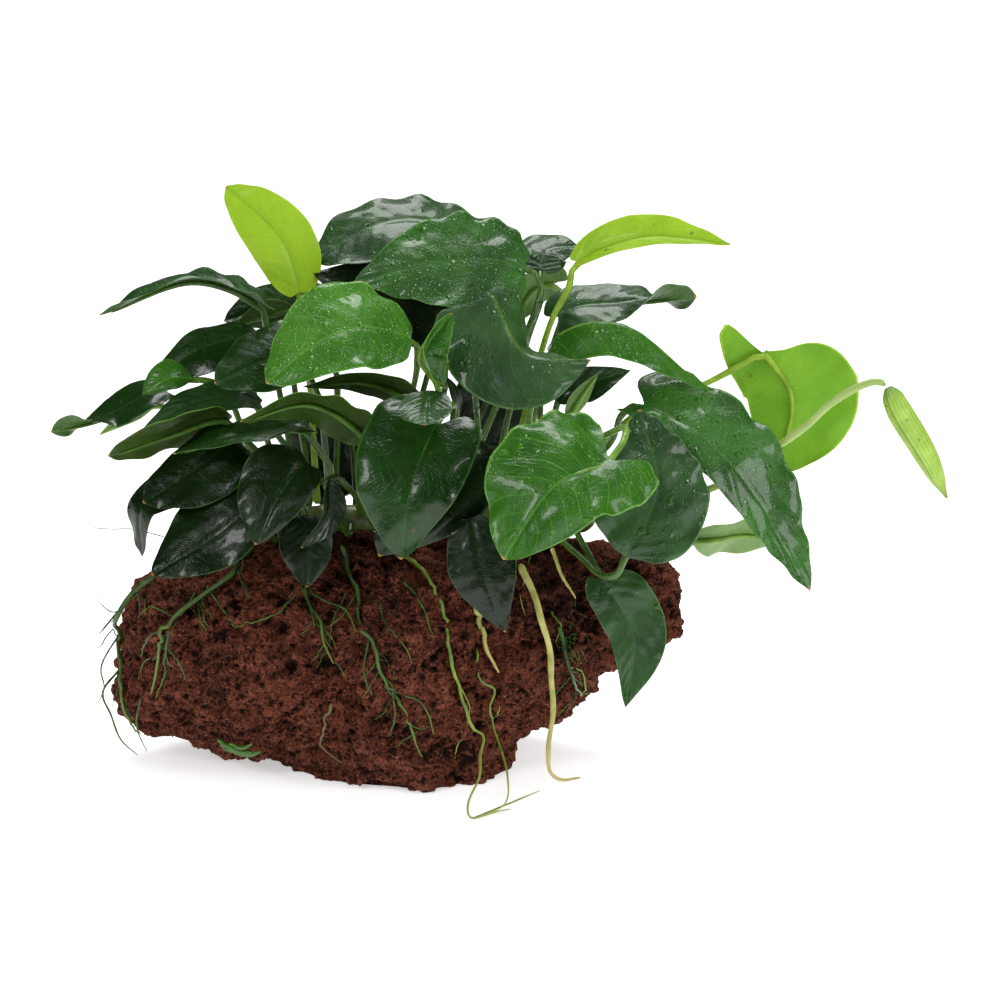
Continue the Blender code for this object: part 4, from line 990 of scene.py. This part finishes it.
# A torn bit of leaf caught low on the stone.
SCRAP = [([(-73, 16), (-68, 13), (-60, 12), (-55, 13)], 1.5), ([(-72, 13), (-66, 11), (-59, 10)], 1.1),
         ([(-68, 15), (-62, 15), (-58, 17)], 0.9)]
ROOTLETS_MIDDLE = [
    ([(-38, 88), (-42, 77), (-52, 70), (-63, 67)], 0.5), ([(-38, 86), (-32, 78), (-20, 74), (-16, 68)], 0.5),
    ([(-8, 78), (-4, 70), (4, 62), (6, 56)], 0.35), ([(-11, 64), (-13, 52), (-10, 42)], 0.4),
    ([(-2, 45), (-1, 33), (-4, 24)], 0.4), ([(-5, 46), (8, 40), (12, 34), (14, 24)], 0.5),
    ([(4, 30), (9, 27), (13, 28)], 0.3), ([(8, 26), (2, 22), (-2, 19)], 0.3),
    ([(-20, 80), (-25, 70), (-27, 60)], 0.3), ([(2, 84), (10, 76), (14, 64)], 0.4),
]
ROOTLETS_RIGHT = [
    ([(31, 59), (32, 48), (38, 43), (36, 35), (38, 24), (43, -62, 13), (42, -70, 5), (30, -77, 1.5)], 0.5),
    ([(24, 46), (28, 36), (27, 28)], 0.35), ([(30, 25), (24, 20), (22, 12)], 0.35),
    ([(60, 70), (64, 66), (62, 60)], 0.4), ([(66, 50), (72, 46), (74, 38), (72, 30)], 0.4),
    ([(33, 26), (38, 30), (40, 36)], 0.3), ([(52, 88), (48, 78), (50, 70)], 0.3),
    ([(30, -76, 1.4), (44, -64, 3), (56, -54, 4.5)], 0.4), ([(78, 72), (86, 66), (90, 62)], 0.3),
]


def moss_piece(skin, paint):
    """A tuft of short strands at the mouth of the hollow."""
    dice = np.random.RandomState(5)
    lines = []
    for _ in range(70):
        x, z = dice.normal((66, 60), (3.0, 5.5))
        hit, normal, _, _ = skin.ray_cast(Vector((x, -300, z)), Vector((0, 1, 0)))
        if hit is None:
            continue
        start = np.array(hit)
        out = unit(np.array(normal) + dice.normal(0, 0.5, 3))
        reach = dice.uniform(2.0, 5.0)
        lines.append((spline([start, start + out * reach * 0.5, start + out * reach + (0, 0, -1.2)], 4), 0.16))
    return rods_piece("moss_tuft", lines, paint, rows=7, sides=4, taper=(1, 0.8, 0.3))


# ------------------------------------------------------------------ surroundings

CAMERA_PLACE = (0.040, -1.1591, 0.4183)
CAMERA_AIM = (0.040, 0.0, 0.1077)
CAMERA_LENS = 108.0
WALL_LIGHT, SKY_LIGHT = 0.30, 0.70    # world strength at the horizon and overhead
MIRRORED_SHARE = 0.05                 # how much of it shows in reflections: the studio around the panels is dark
FLOOR_GLOW = 0.48                     # the floor is a lit table


def aim(thing, target):
    direction = Vector(target) - thing.location
    thing.rotation_euler = direction.to_track_quat("-Z", "Y").to_euler()


def area_light(name, place, target, size, power, colour=(1, 1, 1)):
    lamp = bpy.data.lights.new(name, "AREA")
    lamp.shape = "RECTANGLE"
    lamp.size, lamp.size_y = size
    lamp.energy = power
    lamp.color = colour
    thing = bpy.data.objects.new(name, lamp)
    thing.location = place
    bpy.context.scene.collection.objects.link(thing)
    aim(thing, target)
    return thing


def studio():
    view = bpy.data.cameras.new("camera")
    view.lens = CAMERA_LENS
    view.sensor_width = 36.0
    view.clip_start, view.clip_end = 0.05, 20
    camera = bpy.data.objects.new("camera", view)
    camera.location = CAMERA_PLACE
    bpy.context.scene.collection.objects.link(camera)
    aim(camera, CAMERA_AIM)
    bpy.context.scene.camera = camera

    area_light("sky_panel", (0.1, 0.55, 1.3), (0.0, 0.0, 0.12), (0.8, 0.45), 11)
    area_light("front_panel", (-0.75, -1.3, 1.15), (0.0, 0.0, 0.12), (0.42, 0.5), 8.5)
    area_light("right_panel", (1.15, -0.75, 0.75), (0.0, 0.0, 0.12), (0.5, 0.8), 9)
    bpy.context.scene.view_settings.view_transform = "Standard"

    world = bpy.data.worlds.new("studio")
    world.use_nodes = True
    bpy.context.scene.world = world
    tree = world.node_tree
    ground = tree.nodes["Background"]
    where = tree.nodes.new("ShaderNodeTexCoord")
    height = tree.nodes.new("ShaderNodeSeparateXYZ")
    tree.links.new(where.outputs["Generated"], height.inputs[0])
    fade = tree.nodes.new("ShaderNodeMapRange")
    tree.links.new(height.outputs[2], fade.inputs[0])
    for socket, value in zip(range(1, 5), (0.0, 0.9, WALL_LIGHT, SKY_LIGHT)):
        fade.inputs[socket].default_value = value
    path = tree.nodes.new("ShaderNodeLightPath")
    mirrored = tree.nodes.new("ShaderNodeMapRange")
    tree.links.new(path.outputs["Is Glossy Ray"], mirrored.inputs[0])
    mirrored.inputs[3].default_value, mirrored.inputs[4].default_value = 1.0, MIRRORED_SHARE
    strength = tree.nodes.new("ShaderNodeMath")
    strength.operation = "MULTIPLY"
    tree.links.new(fade.outputs[0], strength.inputs[0])
    tree.links.new(mirrored.outputs[0], strength.inputs[1])
    ground.inputs["Color"].default_value = (1, 1, 1, 1)
    tree.links.new(strength.outputs[0], ground.inputs["Strength"])
    seen = tree.nodes.new("ShaderNodeBackground")
    seen.inputs["Color"].default_value = (1, 1, 1, 1)
    seen.inputs["Strength"].default_value = 1.0
    both = tree.nodes.new("ShaderNodeMixShader")
    tree.links.new(path.outputs["Is Camera Ray"], both.inputs[0])
    tree.links.new(ground.outputs[0], both.inputs[1])
    tree.links.new(seen.outputs[0], both.inputs[2])
    tree.links.new(both.outputs[0], tree.nodes["World Output"].inputs["Surface"])


def floor_piece():
    mesh = bpy.data.meshes.new("floor")
    half = 12.0
    mesh.from_pydata([(-half, -half, 0), (half, -half, 0), (half, half, 0), (-half, half, 0)], [], [(0, 1, 2, 3)])
    floor = bpy.data.objects.new("floor", mesh)
    floor.location.z = -0.0004
    bpy.context.scene.collection.objects.link(floor)
    n = Nodes("floor_paper")
    mesh.materials.append(n.finish(Base_Color=(0.93, 0.93, 0.93, 1), Roughness=0.9, Specular_IOR_Level=0.1,
                                   Emission_Color=(1, 1, 1, 1), Emission_Strength=FLOOR_GLOW))


# ------------------------------------------------------------------ the whole plant

def main():
    studio()
    floor_piece()
    stone, stone_points, stone_faces = stone_piece(stone_paint())
    skin = BVHTree.FromPolygons([Vector(p) for p in stone_points], stone_faces)
    rhizome_piece(stem_paint("rhizome_skin", (0.05, 0.07, 0.015), (0.14, 0.18, 0.04), (0.12, 0.15, 0.04)))
    paints = {key: leaf_paint("leaf_" + key + "_skin", look) for key, look in LOOKS.items()}
    for index, leaf in enumerate(LEAVES):
        leaf_piece(leaf, index, paints[LEAF_LOOKS.get(leaf.name, "old")])

    green_root = stem_paint("root_green_skin", (0.010, 0.036, 0.002), (0.045, 0.115, 0.006), (0.10, 0.16, 0.012))
    lime_root = stem_paint("root_lime_skin", (0.08, 0.15, 0.008), (0.22, 0.31, 0.03), (0.34, 0.36, 0.06))
    tan_root = stem_paint("root_tan_skin", (0.07, 0.045, 0.010), (0.17, 0.12, 0.035), (0.16, 0.10, 0.03))
    pale_root = stem_paint("root_pale_skin", (0.24, 0.25, 0.04), (0.46, 0.44, 0.13), (0.46, 0.36, 0.10))
    dice = np.random.RandomState(11)
    branches = []
    for index, root in enumerate(ROOTS):
        line = laid_line(root.points, skin, root.radius, 0.05)
        wander = np.stack([ripple(line, 23, index + k * 2.3) for k in range(3)], 1)
        line = line + wander * (0.9, 0.3, 0.5)
        paint = {"root_pale_thick": pale_root, "root_long_hanging": pale_root, "root_pale_right": pale_root,
                 "root_to_floor": lime_root, "root_tan": tan_root}.get(root.name, green_root)
        rods_piece(root.name[5:] + "_root", [(line, root.radius * ROOT_SLIM)], paint, [root.name], rows=110,
                   sides=12, taper=(1.15, 0.8, 0.4))
        if paint is green_root:
            branches += side_rootlets(line, dice, 9, 13.0, 0.30)
    for name, table in (("rootlets_left", ROOTLETS_LEFT), ("rootlets_middle", ROOTLETS_MIDDLE),
                        ("rootlets_right", ROOTLETS_RIGHT), ("rootlets_fine", branches)):
        lines = [(laid_line(points, skin, radius, 0.0), radius) for points, radius in table]
        paint = lime_root if name == "rootlets_right" else green_root
        rods_piece(name, lines, paint, rows=40, sides=7)
    scrap = stem_paint("leaf_scrap_skin", (0.02, 0.09, 0.003), (0.06, 0.19, 0.01), (0.05, 0.15, 0.01), 0.3)
    rods_piece("leaf_scrap", [(laid_line(points, skin, radius * 0.2, 0.0), radius) for points, radius in SCRAP], scrap,
               rows=20, sides=10, taper=(0.5, 1, 0.3))
    moss_piece(skin, stem_paint("moss_skin", (0.03, 0.07, 0.01), (0.08, 0.14, 0.02), (0.12, 0.20, 0.04)))

    start, out = rhizome_skin(*PEDUNCLE_START)
    line = spline([start, start + out * 8] + PEDUNCLE_PATH)
    stem = stem_paint("flower_stem_skin", (0.24, 0.34, 0.08), (0.38, 0.50, 0.14), (0.26, 0.38, 0.09))
    rods_piece("flower_stem", [(line, PEDUNCLE_RADIUS)], stem, ["peduncle"], rows=120, sides=14,
               taper=(1, 1, 1))
    spathe_piece(spathe_paint())


main()
